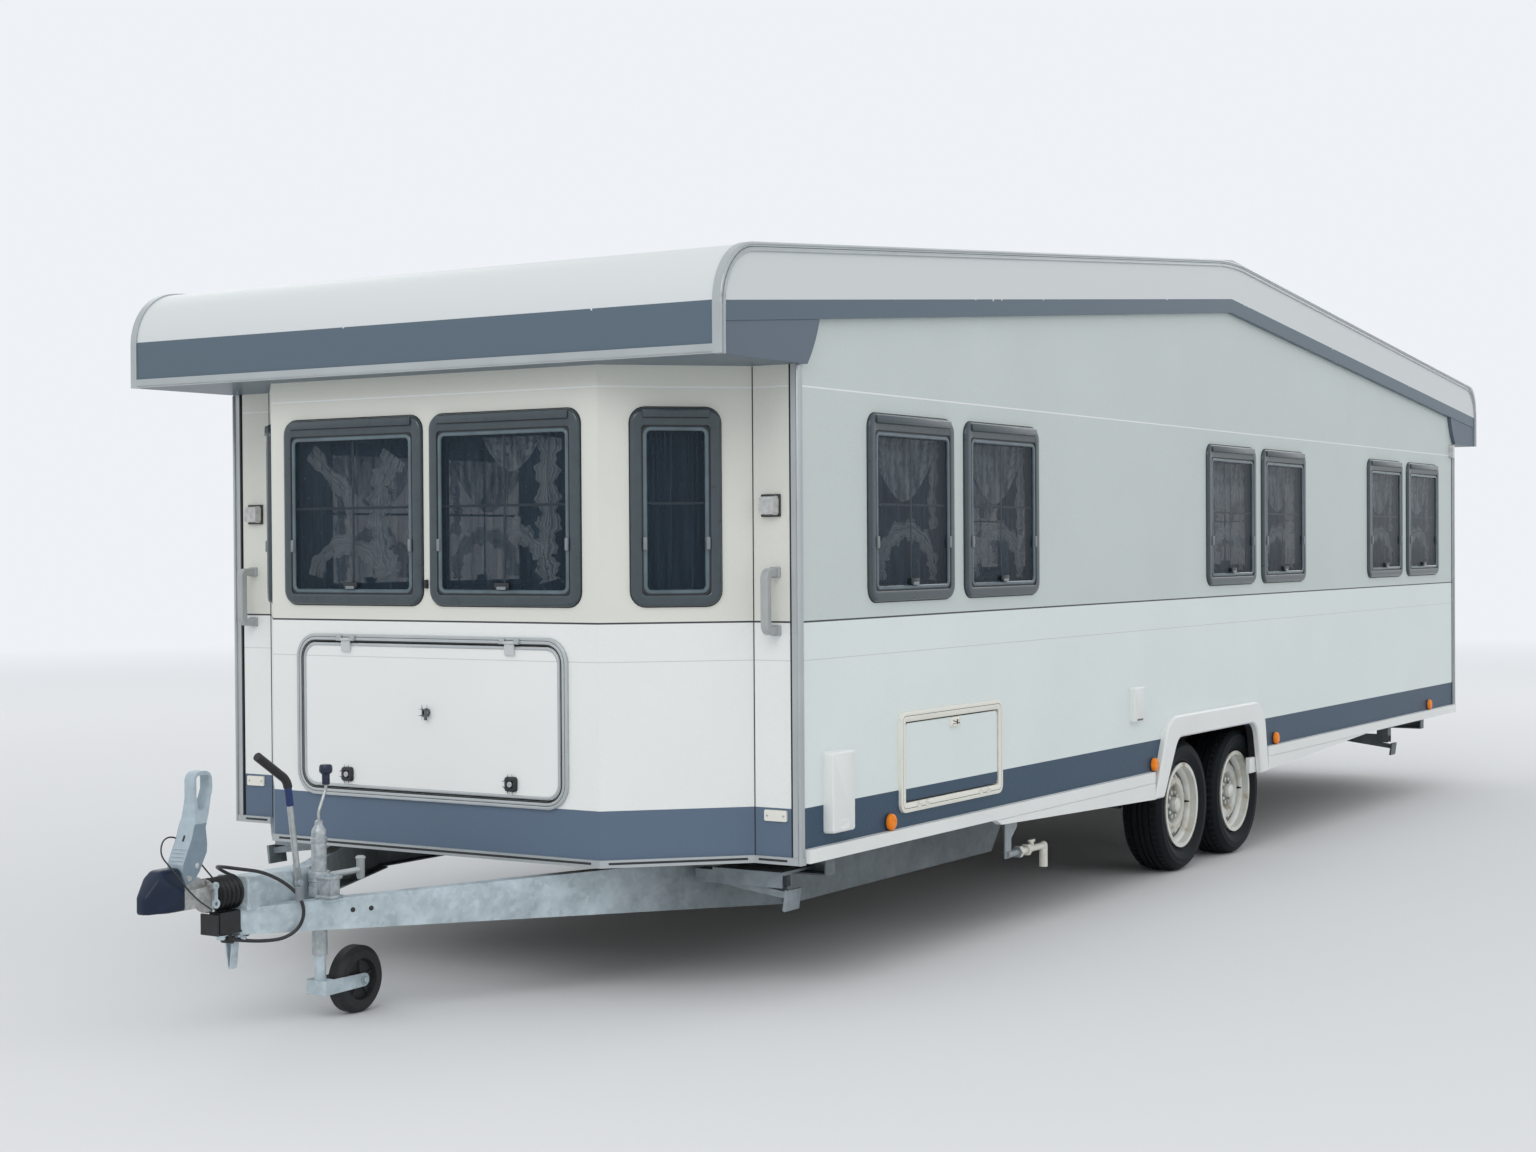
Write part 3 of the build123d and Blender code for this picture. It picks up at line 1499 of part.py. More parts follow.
trail = 160
jockey_radius = 107
jockey_half = 31
fork_inner = 36
fork_plate = 5
jockey_pin = 6
arm_end_radius = 21
with BuildPart() as leg:
    with BuildSketch(Plane.XY.offset(84)):
        with Locations((tube_x, tube_y)):
            Circle(leg_radius)
    extrude(amount=tube_top_z - 40 - 84)
    with BuildSketch(Plane.XY.offset(84)):
        with Locations((tube_x, tube_y)):
            RectangleRounded(2 * leg_radius + 8, 2 * (fork_inner + fork_plate), 8)
    extrude(amount=46)
    for step in (-1, 1):
        face_y = tube_y + step * fork_inner
        with BuildSketch(Plane.XZ.offset(-face_y)):
            with BuildLine():
                Polyline(
                    (tube_x + 10, 84),
                    (tube_x + 10, 130),
                    (tube_x - trail, jockey_radius + arm_end_radius),
                    (tube_x - trail, jockey_radius - arm_end_radius),
                    close=True,
                )
            make_face()
            with Locations((tube_x - trail, jockey_radius)):
                Circle(arm_end_radius)
        extrude(amount=-step * fork_plate)
    with BuildSketch(Plane.XZ.offset(-tube_y - fork_inner - 9)):
        with Locations((tube_x - trail, jockey_radius)):
            Circle(jockey_pin)
    extrude(amount=2 * fork_inner + 18)
keep(leg, "jockey_leg")

with BuildPart() as jockey_wheel:
    wheel_plane = Plane(origin=(tube_x - trail, tube_y, jockey_radius), x_dir=(1, 0, 0), z_dir=(0, 0, 1))
    with BuildSketch(wheel_plane):
        with BuildLine():
            Polyline(
                (jockey_pin + 0.06, -jockey_half - 3),
                (18, -jockey_half - 3),
                (22, -14),
                (60, -14),
                (66, -jockey_half),
                (92, -jockey_half),
                (jockey_radius, -jockey_half + 14),
                (jockey_radius, jockey_half - 14),
                (92, jockey_half),
                (66, jockey_half),
                (60, 14),
                (22, 14),
                (18, jockey_half + 3),
                (jockey_pin + 0.06, jockey_half + 3),
                close=True,
            )
        make_face()
    revolve(axis=Axis(wheel_plane.origin, (0, 1, 0)))
keep(jockey_wheel, "jockey_wheel")

# Parked plug: a black holder on a folded plate at the drawbar's tip, the plug's tail below it
holder_plate_z = 316
with BuildPart() as holder:
    with BuildSketch(Plane.XY.offset(holder_plate_z + 4)):
        with Locations((beam_tip[0] + 44, 16)):
            RectangleRounded(88, 52, 8)
    extrude(amount=64)
    with BuildSketch(Plane.XY.offset(holder_plate_z)):
        with Locations((beam_tip[0] + 50, 6)):
            Rectangle(100, 72)
    extrude(amount=6)
    with BuildSketch(Plane.YZ.offset(beam_tip[0] + 94)):
        with Locations((6, holder_plate_z + 32)):
            Rectangle(72, 64)
    extrude(amount=6)
keep(holder, "plug_holder")

# Cable gland on the far side of the housing, and the lead that loops over the housing
lead_radius = 5.5
lead_points = [
    tuple(lead_start),
    tuple(lead_second),
    (4398, -88, 468),
    (4462, -80, 500),
    (4496, -46, 511),
    (4510, 6, 514),
    (4484, 52, 507),
    (4424, 70, 494),
    (4370, 102, 462),
    (4330, 134, 416),
    (4316, 144, 364),
    (4328, 134, 314),
    (4364, 106, 284),
    (4412, 72, 280),
    (4460, 40, 285),
    (4504, 26, 294),
]


def cord_path(points):
    """Straight runs joined by tangent arcs as large as the runs allow."""
    radii = []
    for before, here, after in zip(points, points[1:], points[2:]):
        first = Vector(here) - Vector(before)
        second = Vector(after) - Vector(here)
        turn = first.get_angle(second)
        radii.append(0.45 * min(first.length, second.length) / tan(radians(turn / 2)))
    print("cord radii", [round(r) for r in radii])
    return FilletPolyline(*points, radius=radii)


def compare_volume(name, tube, section_radius, path):
    """Print a cord's volume beside its section times its length."""
    whole = pi * section_radius**2 * path.length
    print(name, "volume", round(tube.part.volume), "section times length", round(whole))
    print(name, "length", round(path.length))


with BuildPart() as lead:
    with BuildLine():
        lead_path = cord_path(lead_points)
    with BuildSketch(Plane(origin=lead_start, z_dir=lead_second - lead_start)):
        Circle(lead_radius)
    sweep(path=lead.pending_edges_as_wire)
compare_volume("electric_lead", lead, lead_radius, lead_path)
keep(lead, "electric_lead")

tail = Vector(lead_points[-1])
with BuildPart() as plug:
    with BuildSketch(Plane(origin=tail, z_dir=tail - Vector(lead_points[-2]))):
        Circle(12)
    extrude(amount=36)
    with BuildSketch(Plane.XY.offset(296)):
        with Locations((4524, 24)):
            Rectangle(16, 20)
    extrude(amount=holder_plate_z - 296)
keep(plug, "lead_plug")

# Breakaway cable: from an eye on the far side, round the front of the handle to its clip
wire_radius = 2.5
wire_points = [
    tuple(wire_start),
    tuple(wire_second),
    (4574, -58, 552),
    (4620, -52, 592),
    (4668, -48, 622),
    (4716, -38, 622),
    (4750, -18, 598),
    (4772, 12, 574),
    (4774, 44, 552),
    (4752, 60, 514),
    (4712, 61, 470),
    (4668, 60, 432),
    (4622, 60, 404),
]
with BuildPart() as wire:
    with BuildLine():
        wire_path = cord_path(wire_points)
    with BuildSketch(Plane(origin=wire_start, z_dir=wire_second - wire_start)):
        Circle(wire_radius)
    sweep(path=wire.pending_edges_as_wire)
compare_volume("breakaway_cable", wire, wire_radius, wire_path)
keep(wire, "breakaway_cable")

wire_end = Vector(wire_points[-1])
with BuildPart() as clip:
    with BuildSketch(Plane.XZ.offset(-57.5)):
        with Locations((4606, 474)):
            Circle(11)
            Circle(3.3, mode=Mode.SUBTRACT)
        with Locations((4606, 444)):
            Rectangle(11, 42)
        with Locations((4606, 420)):
            Circle(14)
            Circle(7, mode=Mode.SUBTRACT)
    extrude(amount=-6)
    with BuildSketch(Plane(origin=wire_end, z_dir=wire_end - Vector(wire_points[-2]))):
        Circle(4)
    extrude(amount=8)
keep(clip, "cable_clip")
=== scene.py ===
import bpy
from math import atan2, cos, hypot, pi, radians, sin, tan
from mathutils import Matrix, Vector


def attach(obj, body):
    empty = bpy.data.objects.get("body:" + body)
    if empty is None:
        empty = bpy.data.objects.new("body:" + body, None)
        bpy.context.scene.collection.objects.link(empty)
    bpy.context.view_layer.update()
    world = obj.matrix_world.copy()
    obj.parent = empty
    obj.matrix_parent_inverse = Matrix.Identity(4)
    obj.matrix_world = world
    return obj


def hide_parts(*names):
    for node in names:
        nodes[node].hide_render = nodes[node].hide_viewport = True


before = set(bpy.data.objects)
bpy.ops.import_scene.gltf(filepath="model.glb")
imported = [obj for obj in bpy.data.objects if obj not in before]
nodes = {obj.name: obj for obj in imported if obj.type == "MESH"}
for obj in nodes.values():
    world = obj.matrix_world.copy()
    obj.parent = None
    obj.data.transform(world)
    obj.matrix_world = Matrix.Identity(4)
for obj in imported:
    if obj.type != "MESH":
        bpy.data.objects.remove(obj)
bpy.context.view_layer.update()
bpy.ops.object.select_all(action="DESELECT")

# Camera at the photograph's place: left of the coupling, at eye height, looking
# back along the near side with the verticals almost upright.
view_eye = Vector((9.4983, 5.0819, 1.4791))
view_yaw = radians(-147.9241)
view_pitch = radians(-0.7573)
view_roll = radians(-0.3792)
focal_pixels, photo_pixels_wide = 2282.95, 1536
look = Vector((cos(view_yaw) * cos(view_pitch), sin(view_yaw) * cos(view_pitch), sin(view_pitch)))
flat_right = Vector((sin(view_yaw), -cos(view_yaw), 0))
upright = flat_right.cross(look)
right = cos(view_roll) * flat_right + sin(view_roll) * upright
up = -sin(view_roll) * flat_right + cos(view_roll) * upright
bpy.ops.object.camera_add(location=view_eye)
camera = bpy.context.object
camera.name = "photo_camera"
turn = Matrix((right, up, -look)).transposed().to_4x4()
camera.matrix_world = Matrix.Translation(view_eye) @ turn
camera.data.sensor_width = 36.0
camera.data.lens = camera.data.sensor_width * focal_pixels / photo_pixels_wide
camera.data.clip_start = 0.05
camera.data.clip_end = 400
bpy.context.scene.camera = camera


# Electric lead: a thick black cable that leaves a gland on the far side of the
# housing, crosses over it, hangs in a wide loop outside the near beam, and comes
# back up to the plug that is parked under the bellows.
def new_material(name):
    """A node material, with the node tree and the shader that its recipe works on."""
    made = bpy.data.materials.new(name)
    made.use_nodes = True
    return made, made.node_tree, made.node_tree.nodes["Principled BSDF"]


def feed(tree, target, sockets):
    """Give each named socket of a node its value, or another node's output."""
    for socket, given in sockets.items():
        if isinstance(given, bpy.types.NodeSocket):
            tree.links.new(given, target.inputs[socket])
        else:
            target.inputs[socket].default_value = given


def add_node(tree, kind, sockets, **settings):
    """A new node of one kind, with its settings, fed by values and other nodes' outputs."""
    made = tree.nodes.new("ShaderNode" + kind)
    for setting, value in settings.items():
        setattr(made, setting, value)
    feed(tree, made, sockets)
    return made


def add_math(tree, operation, *terms):
    """Output of one sum on numbers or other nodes' outputs."""
    return add_node(tree, "Math", dict(enumerate(terms)), operation=operation).outputs[0]


def add_ramp(tree, share, stops, stepped=False):
    """Colour output of a ramp whose stops are each a position and a colour."""
    made = add_node(tree, "ValToRGB", {"Fac": share})
    if stepped:
        made.color_ramp.interpolation = "CONSTANT"
    elements = made.color_ramp.elements
    while len(elements) < len(stops):
        elements.new(0.5)
    for stop, (position, colour) in zip(elements, stops):
        stop.position = position
        stop.color = (*colour, 1)
    return made.outputs["Color"]


def add_mix(tree, share, colour, other):
    """Output that turns from one colour to the other as the share goes from 0 to 1."""
    mix = add_node(tree, "Mix", {"Factor": share, "A": colour, "B": other}, data_type="RGBA")
    return mix.outputs["Result"]


def add_range(tree, share, low, high, from_low=0.0, from_high=1.0):
    """Output that moves a value from one range to another, and holds it at the ends."""
    limits = {"From Min": from_low, "From Max": from_high, "To Min": low, "To Max": high}
    return add_node(tree, "MapRange", {"Value": share, **limits}).outputs["Result"]


def add_shade(tree, colour, factor):
    """Output of a colour made darker or lighter by a factor."""
    return add_node(tree, "VectorMath", {0: colour, "Scale": factor}, operation="SCALE").outputs["Vector"]


def add_lift(tree, height, strength, distance):
    """Normal output that makes a surface stand up where the height is high."""
    lift = add_node(tree, "Bump", {"Height": height, "Strength": strength, "Distance": distance})
    return lift.outputs["Normal"]


def object_place(tree):
    """Output of each point's place on the object, in metres."""
    return add_node(tree, "TexCoord", {}).outputs["Object"]


def split(tree, vector):
    """The X, Y and Z outputs of a place or a direction."""
    return add_node(tree, "SeparateXYZ", {"Vector": vector}).outputs


def mottled(name, colour, rough, metal=0.0, grain=40.0, spread=0.08, bump=0.1, depth=0.002, coat=0.0,
            shine=0.5):
    """A material whose colour and roughness drift softly over the surface."""
    made, tree, shader = new_material(name)
    place = object_place(tree)
    noise = add_node(tree, "TexNoise", {"Vector": place, "Scale": grain, "Detail": 6.0}).outputs["Fac"]
    dark = [level * (1 - spread) for level in colour]
    light = [min(1.0, level * (1 + spread)) for level in colour]
    feed(tree, shader, {
        "Base Color": add_ramp(tree, noise, ((0.3, dark), (0.72, light))),
        "Roughness": add_range(tree, noise, max(0.02, rough - 0.08), min(1.0, rough + 0.08)),
        "Normal": add_lift(tree, noise, bump, depth),
        "Metallic": metal, "Coat Weight": coat, "Specular IOR Level": shine,
    })
    return made


def dress(made, *names):
    """Give a material to every slot of the named solids."""
    for name in names:
        for place in nodes[name].material_slots:
            place.material = made


def cord_curve(name, route, thickness, made):
    """A cord on one smooth spline with the route's points as its control points."""
    data = bpy.data.curves.new(name, "CURVE")
    data.dimensions = "3D"
    data.bevel_depth = thickness / 2
    data.bevel_resolution = 4
    data.resolution_u = 12
    data.use_fill_caps = True
    line = data.splines.new("NURBS")
    line.points.add(len(route) - 1)
    for knot, spot in zip(line.points, route):
        knot.co = (spot[0] / 1000, spot[1] / 1000, spot[2] / 1000, 1)
    line.order_u = 3
    line.use_endpoint_u = True
    data.materials.append(made)
    cord = bpy.data.objects.new(name, data)
    bpy.context.collection.objects.link(cord)
    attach(cord, "caravan")
    return cord


lead_route = (
    (4262, -82, 440), (4330, -84, 447), (4398, -88, 468), (4462, -80, 500), (4496, -46, 511),
    (4510, 6, 514), (4484, 52, 507), (4424, 70, 494), (4370, 102, 462), (4330, 134, 416),
    (4316, 144, 364), (4328, 134, 314), (4364, 106, 284), (4412, 72, 280), (4460, 40, 285),
    (4504, 26, 294),
)
black_pvc = mottled("black_pvc", (0.018, 0.018, 0.02), 0.42, grain=160, spread=0.3, bump=0.08, depth=0.0005)
lead = cord_curve("lead_cable", lead_route, 0.011, black_pvc)
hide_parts("electric_lead")

# Breakaway cable: a thin dark wire from an eye beside the housing, up over the
# front of the raised handle, and down the near side to its spring clip.
wire_route = (
    (4486, -72, 470), (4530, -66, 508), (4574, -58, 552), (4620, -52, 592), (4668, -48, 622),
    (4716, -38, 622), (4750, -18, 598), (4772, 12, 574), (4774, 44, 552), (4752, 60, 514),
    (4712, 61, 470), (4668, 60, 432), (4622, 60, 404),
)
dark_wire = mottled("dark_wire", (0.02, 0.022, 0.022), 0.35, grain=300, spread=0.3, bump=0.05, depth=0.0003)
wire = cord_curve("breakaway_wire", wire_route, 0.005, dark_wire)
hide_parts("breakaway_cable")

# Stage: a plain pale floor that fades far off into a pale backdrop, and soft studio
# light from large lamps above the front, the near side, the far side and the rear.
bpy.ops.mesh.primitive_grid_add(x_subdivisions=2, y_subdivisions=2, size=700, location=(0, 0, 0))
ground = bpy.context.object
ground.name = "studio_floor"
floor_mat, tree, shader = new_material("studio_floor")
feed(tree, shader, {"Base Color": (0.74, 0.75, 0.76, 1), "Roughness": 0.9})
backdrop = (0.86, 0.89, 0.93, 1)
haze_starts, haze_full = 9.0, 26.0
haze = add_node(tree, "Emission", {"Color": backdrop})
reach = add_node(tree, "VectorMath", {0: object_place(tree)}, operation="LENGTH").outputs["Value"]
far_off = add_range(tree, reach, 0.0, 1.0, haze_starts, haze_full)
ray = add_node(tree, "LightPath", {})
faded = add_math(tree, "MULTIPLY", far_off, ray.outputs["Is Camera Ray"])
mix = add_node(tree, "MixShader", {"Fac": faded, 1: shader.outputs["BSDF"], 2: haze.outputs["Emission"]})
feed(tree, tree.nodes["Material Output"], {"Surface": mix.outputs["Shader"]})
ground.data.materials.append(floor_mat)
world = bpy.data.worlds.new("studio")
world.use_nodes = True
bpy.context.scene.world = world
tree = world.node_tree
sky = tree.nodes["Background"]
feed(tree, sky, {"Color": (0.973, 0.986, 1.0, 1), "Strength": 0.83})
plain = add_node(tree, "Background", {"Color": backdrop, "Strength": 1.0})
ray = add_node(tree, "LightPath", {})
seen = add_math(tree, "MAXIMUM", ray.outputs["Is Camera Ray"], ray.outputs["Is Glossy Ray"])
seen = add_math(tree, "MAXIMUM", seen, ray.outputs["Is Transmission Ray"])
mix = add_node(tree, "MixShader", {"Fac": seen, 1: sky.outputs["Background"], 2: plain.outputs["Background"]})
feed(tree, tree.nodes["World Output"], {"Surface": mix.outputs["Shader"]})
bpy.context.scene.view_settings.view_transform = "Standard"
for name, spot, target, size, power in (
    ("front_lamp", (13, 3.5, 9), (2.5, 0, 1.2), 7, 380),
    ("near_lamp", (1.5, 14, 9), (0, 0, 1.2), 9, 70),
    ("far_lamp", (-4, -13, 9), (0, 0, 1.2), 9, 200),
    ("rear_lamp", (-14, 3, 8), (-3, 0, 1.2), 7, 200),
):
    bpy.ops.object.light_add(type="AREA", location=spot)
    lamp = bpy.context.object
    lamp.name = name
    lamp.data.size = size
    lamp.data.energy = power
    lamp.rotation_euler = (Vector(target) - Vector(spot)).to_track_quat("-Z", "Y").to_euler()

# Chassis, drawbar, axles and steadies: folded and welded steel, hot-dip galvanised,
# with large pale and dark flowers and dull streaks, and painted shade under the body.
zinc, tree, shader = new_material("galvanised_steel")
place = object_place(tree)
flowers = add_node(tree, "TexVoronoi", {"Vector": place, "Scale": 55.0}).outputs["Color"]
clouds = add_node(tree, "TexNoise", {"Vector": place, "Scale": 9.0, "Detail": 8.0}).outputs["Fac"]
tone = add_node(tree, "Mix", {"Factor": 0.84, "A": flowers, "B": clouds}, data_type="FLOAT").outputs["Result"]
unshaded_zinc = add_ramp(tree, tone, ((0.28, (0.32, 0.38, 0.41)), (0.66, (0.58, 0.67, 0.72))))
# Painted shade: the steel darkens to 0.36 of its colour from X 3.45 back to X 3.00, and stays that dark under
# the body.
full_shade_to, no_shade_from = 3.00, 3.45
painted_shade = add_range(tree, split(tree, place)["X"], 0.36, 1.0, full_shade_to, no_shade_from)
feed(tree, shader, {
    "Base Color": add_shade(tree, unshaded_zinc, painted_shade),
    "Roughness": add_range(tree, tone, 0.40, 0.66),
    "Normal": add_lift(tree, clouds, 0.12, 0.001),
    "Metallic": 0.40,
})
dress(zinc, "chassis", "drawbar", "front_axle", "rear_axle", "steady_brackets", "jockey_leg",
      "overrun_housing", "cable_clip")
corners = ("front_left", "front_right", "rear_left", "rear_right")
for corner in corners:
    dress(zinc, corner + "_steady")

# Body panels: sheet aluminium with a fine hammered skin, white below a dark joint
# line at waist height and warm grey above it, with a slate band along the sill.
def panel_steps(slate, white, grey):
    """Heights at which the sheet's colour changes, from the sill up to the eaves."""
    # The pale grey crease line across the white is painted shade along the crease in the sheet.
    crease_shade, joint, line = (0.62, 0.645, 0.64), (0.06, 0.065, 0.07), (0.83, 0.86, 0.85)
    return (
        (-1.0, slate), (0.626, white), (1.1045, crease_shade), (1.1075, white),
        (1.2285, joint), (1.2345, grey), (1.9935, line), (1.9985, grey),
    )


def panel_material(name, steps, dimpled, straps=None, edge_shade=None):
    """Striped sheet metal: the colour follows the height, the skin is hammered.
    Straps that stand proud, beyond a place along X, take their own colour, and cut
    edges, which look along X, take a near-black painted shade, where one is given."""
    made, tree, shader = new_material(name)
    place = object_place(tree)
    parts = split(tree, place)
    stripes = (*steps[0][1], 1)
    for height, colour in steps[1:]:
        stripes = add_mix(tree, add_math(tree, "GREATER_THAN", parts["Z"], height), stripes, (*colour, 1))
    dirt = add_node(tree, "TexNoise", {"Vector": place, "Scale": 2.2, "Detail": 5.0}).outputs["Fac"]
    paint = add_shade(tree, stripes, add_range(tree, dirt, 0.965, 1.0, 0.3, 0.7))
    if straps:
        limit, colour = straps
        paint = add_mix(tree, add_math(tree, "GREATER_THAN", parts["X"], limit), paint, (*colour, 1))
    # Painted shade: faces that look along X, the sheet's cut edges seen inside the wheel arches and round the
    # door, turn near black.
    if edge_shade:
        looks = split(tree, add_node(tree, "TexCoord", {}).outputs["Normal"])
        is_edge = add_math(tree, "GREATER_THAN", add_math(tree, "ABSOLUTE", looks["X"]), 0.6)
        paint = add_mix(tree, is_edge, paint, (*edge_shade, 1))
    hammer = {"Vector": place, "Scale": 95.0, "Smoothness": 0.8}
    dimples = add_node(tree, "TexVoronoi", hammer, feature="SMOOTH_F1").outputs["Distance"]
    feed(tree, shader, {
        "Base Color": paint,
        "Normal": add_lift(tree, dimples, dimpled, 0.002),
        "Roughness": 0.42, "Specular IOR Level": 0.25,
    })
    return made


# The ends and the sides are one paint, but the ends take a lighter copy of its colours as painted light and
# the sides a darker copy as painted shade; the locker lid takes the lighter copy and the service hatch lid the
# darker.
lit_end_steps = panel_steps((0.115, 0.163, 0.232), (0.826, 0.846, 0.832), (0.730, 0.738, 0.680))
shaded_side_steps = panel_steps((0.036, 0.075, 0.124), (0.760, 0.828, 0.816), (0.590, 0.650, 0.634))
hammered, smooth = 0.30, 0.04
strap_x, strap_zinc = 3.568, (0.55, 0.57, 0.58)
shaded_side_sheet = panel_material("shaded_side_sheet", shaded_side_steps, hammered, edge_shade=(0.016, 0.018, 0.021))
dress(shaded_side_sheet, "left_wall", "right_wall", "entrance_door")
dress(panel_material("lit_end_sheet", lit_end_steps, hammered), "front_wall", "rear_wall")
dress(panel_material("locker_skin", lit_end_steps, smooth, straps=(strap_x, strap_zinc)), "gas_locker_lid")
service_skin = panel_material("service_skin", shaded_side_steps, smooth)

# Roof: white glass-fibre skin with a slate band painted round both cowls, chipped
# along its upper edge, and the same slate strip along the foot of each fascia.
cowl_band_top = 2.230
ridge_x, ridge_z = -0.650, 2.786
roof_slope_angle = radians(5.05)
roof_slope = tan(roof_slope_angle)
strip_top = 2.611
paint_white, paint_slate = (0.660, 0.690, 0.700), (0.108, 0.150, 0.188)


def roof_material(name, limit, slope):
    """White gloss with a slate stripe up to a height that falls with the slope from
    the ridge, worn ragged along the stripe's upper edge."""
    made, tree, shader = new_material(name)
    place = object_place(tree)
    parts = split(tree, place)
    chips = add_node(tree, "TexNoise", {"Vector": place, "Scale": 26.0, "Detail": 9.0}).outputs["Fac"]
    level = add_math(tree, "ADD", parts["Z"], add_range(tree, chips, 0.0, 0.014, 0.66, 0.76))
    from_ridge = add_math(tree, "ABSOLUTE", add_math(tree, "SUBTRACT", parts["X"], ridge_x))
    level = add_math(tree, "MULTIPLY_ADD", from_ridge, slope, level)
    is_stripe = add_math(tree, "LESS_THAN", level, limit)
    waves = add_node(tree, "TexNoise", {"Vector": place, "Scale": 1.6}).outputs["Fac"]
    feed(tree, shader, {
        "Base Color": add_mix(tree, is_stripe, (*paint_white, 1), (*paint_slate, 1)),
        "Normal": add_lift(tree, waves, 0.08, 0.02),
        "Roughness": 0.35, "Specular IOR Level": 0.20,
    })
    return made


dress(roof_material("roof_skin", cowl_band_top, 0.0), "roof")
dress(roof_material("fascia_skin", strip_top, roof_slope), "roof_fascias")
slate_gloss = mottled(
    "slate_plastic", (0.095, 0.130, 0.172), 0.45, grain=3, spread=0.05, bump=0.04, depth=0.004,
)
dress(slate_gloss, "fascia_brackets")
white_gloss = mottled("white_plastic", (0.79, 0.81, 0.80), 0.36, grain=3, spread=0.03, bump=0.03, depth=0.003)
dress(white_gloss, "side_skirts", "wheel_arch_spats", "side_covers", "roof_fittings", "gas_locker_bulkhead")

# Aluminium trims: drawn strip along the roof edge, on the side corners and along
# the foot of both ends, left bare, with a rounded bead on every edge.
bright = mottled(
    "drawn_aluminium", (0.46, 0.49, 0.50), 0.36, metal=0.55, grain=6, spread=0.06, bump=0.02, depth=0.001,
)
dress(bright, "aluminium_trims")
cream_colour, cream_rough = (0.80, 0.79, 0.72), 0.36
cream = mottled("cream_plastic", cream_colour, cream_rough, grain=6, spread=0.03, bump=0.03, depth=0.002)
dress(cream, "reflector_plates")


def facing(x, y, z, heading):
    """Matrix that sets a flat piece on a wall whose outside looks along the heading."""
    turn = radians(heading)
    across = Vector((-sin(turn), cos(turn), 0))
    out = Vector((cos(turn), sin(turn), 0))
    axes = Matrix((across, Vector((0, 0, 1)), out)).transposed()
    return Matrix.Translation((x, y, z)) @ axes.to_4x4()


def finish_piece(name, made, angle=35):
    """Leave edit mode, round the soft edges and give the piece its name and material."""
    bpy.ops.object.mode_set(mode="OBJECT")
    bpy.ops.object.shade_smooth_by_angle(angle=radians(angle))
    piece = bpy.context.object
    piece.name = name
    piece.data.materials.append(made)
    return piece


def block(name, size, bevel, made, at=(0, 0, 0)):
    """A block with rounded edges, its foot on the sheet's own plane."""
    bpy.ops.mesh.primitive_cube_add(size=1)
    bpy.ops.object.mode_set(mode="EDIT")
    bpy.ops.transform.resize(value=size)
    bpy.ops.mesh.bevel(offset=bevel, segments=2, affect="EDGES")
    bpy.ops.transform.translate(value=(at[0], at[1], at[2] + size[2] / 2))
    return finish_piece(name, made)


def copy_of(pattern):
    """A copy of a pattern with its own mesh, not yet in the scene."""
    piece = pattern.copy()
    piece.data = pattern.data.copy()
    return piece


def set_down(pattern, places, body="caravan", replaced=()):
    """Copy a pattern to every place, each copy with its own mesh, and drop the pattern."""
    pieces = []
    for count, place in enumerate(places):
        piece = copy_of(pattern)
        piece.name = f"{pattern.name}_{count + 1}"
        piece.data.transform(place)
        bpy.context.collection.objects.link(piece)
        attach(piece, body)
        if replaced:
            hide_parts(*replaced)
        pieces.append(piece)
    bpy.data.objects.remove(pattern)
    return pieces


half_width = 1.250
front_face_x, rear_face_x = 3.200, -4.430
end_faces = ((front_face_x, 0, 1), (rear_face_x, 180, -1))
end_corners = [(x, heading, out, side) for x, heading, out in end_faces for side in (1, -1)]
wall_foot, wall_top = 0.445, 2.064
wall_mid = (wall_foot + wall_top) / 2
seam_tall = wall_top - wall_foot
post_leg, side_leg = 0.022, 0.024
set_down(block("corner_bead", (0.015, seam_tall, 0.011), 0.005, bright, at=(0, 0, 0.003)), [
    facing(x, side * half_width, wall_mid, heading + 45 * out * side) for x, heading, out, side in end_corners
])
seal_and_shade_black = mottled("seal_and_shade_black", (0.02, 0.022, 0.025), 0.55, grain=60, spread=0.2, bump=0.1, depth=0.0005)
set_down(block("corner_seal", (0.005, seam_tall, 0.004), 0.0015, seal_and_shade_black), [
    facing(x, side * (half_width - post_leg - 0.003), wall_mid, heading)
    for x, heading, _, side in end_corners
])
set_down(block("side_seal", (0.003, seam_tall, 0.002), 0.0008, seal_and_shade_black), [
    facing(x - side_leg * out, side * half_width, wall_mid, side * 90) for x, _, out, side in end_corners
])
bay_root = 1.077
set_down(block("bay_seam", (0.004, seam_tall, 0.001), 0.0004, seal_and_shade_black), [
    facing(x, side * (bay_root + 0.002), wall_mid, heading) for x, heading, _, side in end_corners
])

# Rubber strips let into the sill rails, each with rounded ends: a long one under the
# bay, one under each slanted facet and a short one at each corner.
bay_depth, bay_half = 0.361, 0.716
facet_y = (bay_root + bay_half) / 2
strip_z, corner_strip_y = 0.4565, 1.153


def on_bays(z):
    """Matrices that set a flat piece on the middle of both bays, at a height."""
    return [facing(x + bay_depth * out, 0, z, heading) for x, heading, out in end_faces]


def on_facets(z):
    """Matrices that set a flat piece on the middle of all four slanted facets, at a height."""
    return [
        facing(x + bay_depth * out / 2, side * facet_y, z, heading + 45 * out * side)
        for x, heading, out, side in end_corners
    ]


for length, places in (
    (2 * bay_half - 0.06, on_bays(strip_z)),
    (0.46, on_facets(strip_z)),
    (0.110, [facing(x, side * corner_strip_y, strip_z, heading) for x, heading, _, side in end_corners]),
):
    set_down(block("sill_strip", (length, 0.0075, 0.0015), 0.0006, seal_and_shade_black, at=(0, 0, 0.0097)), places)

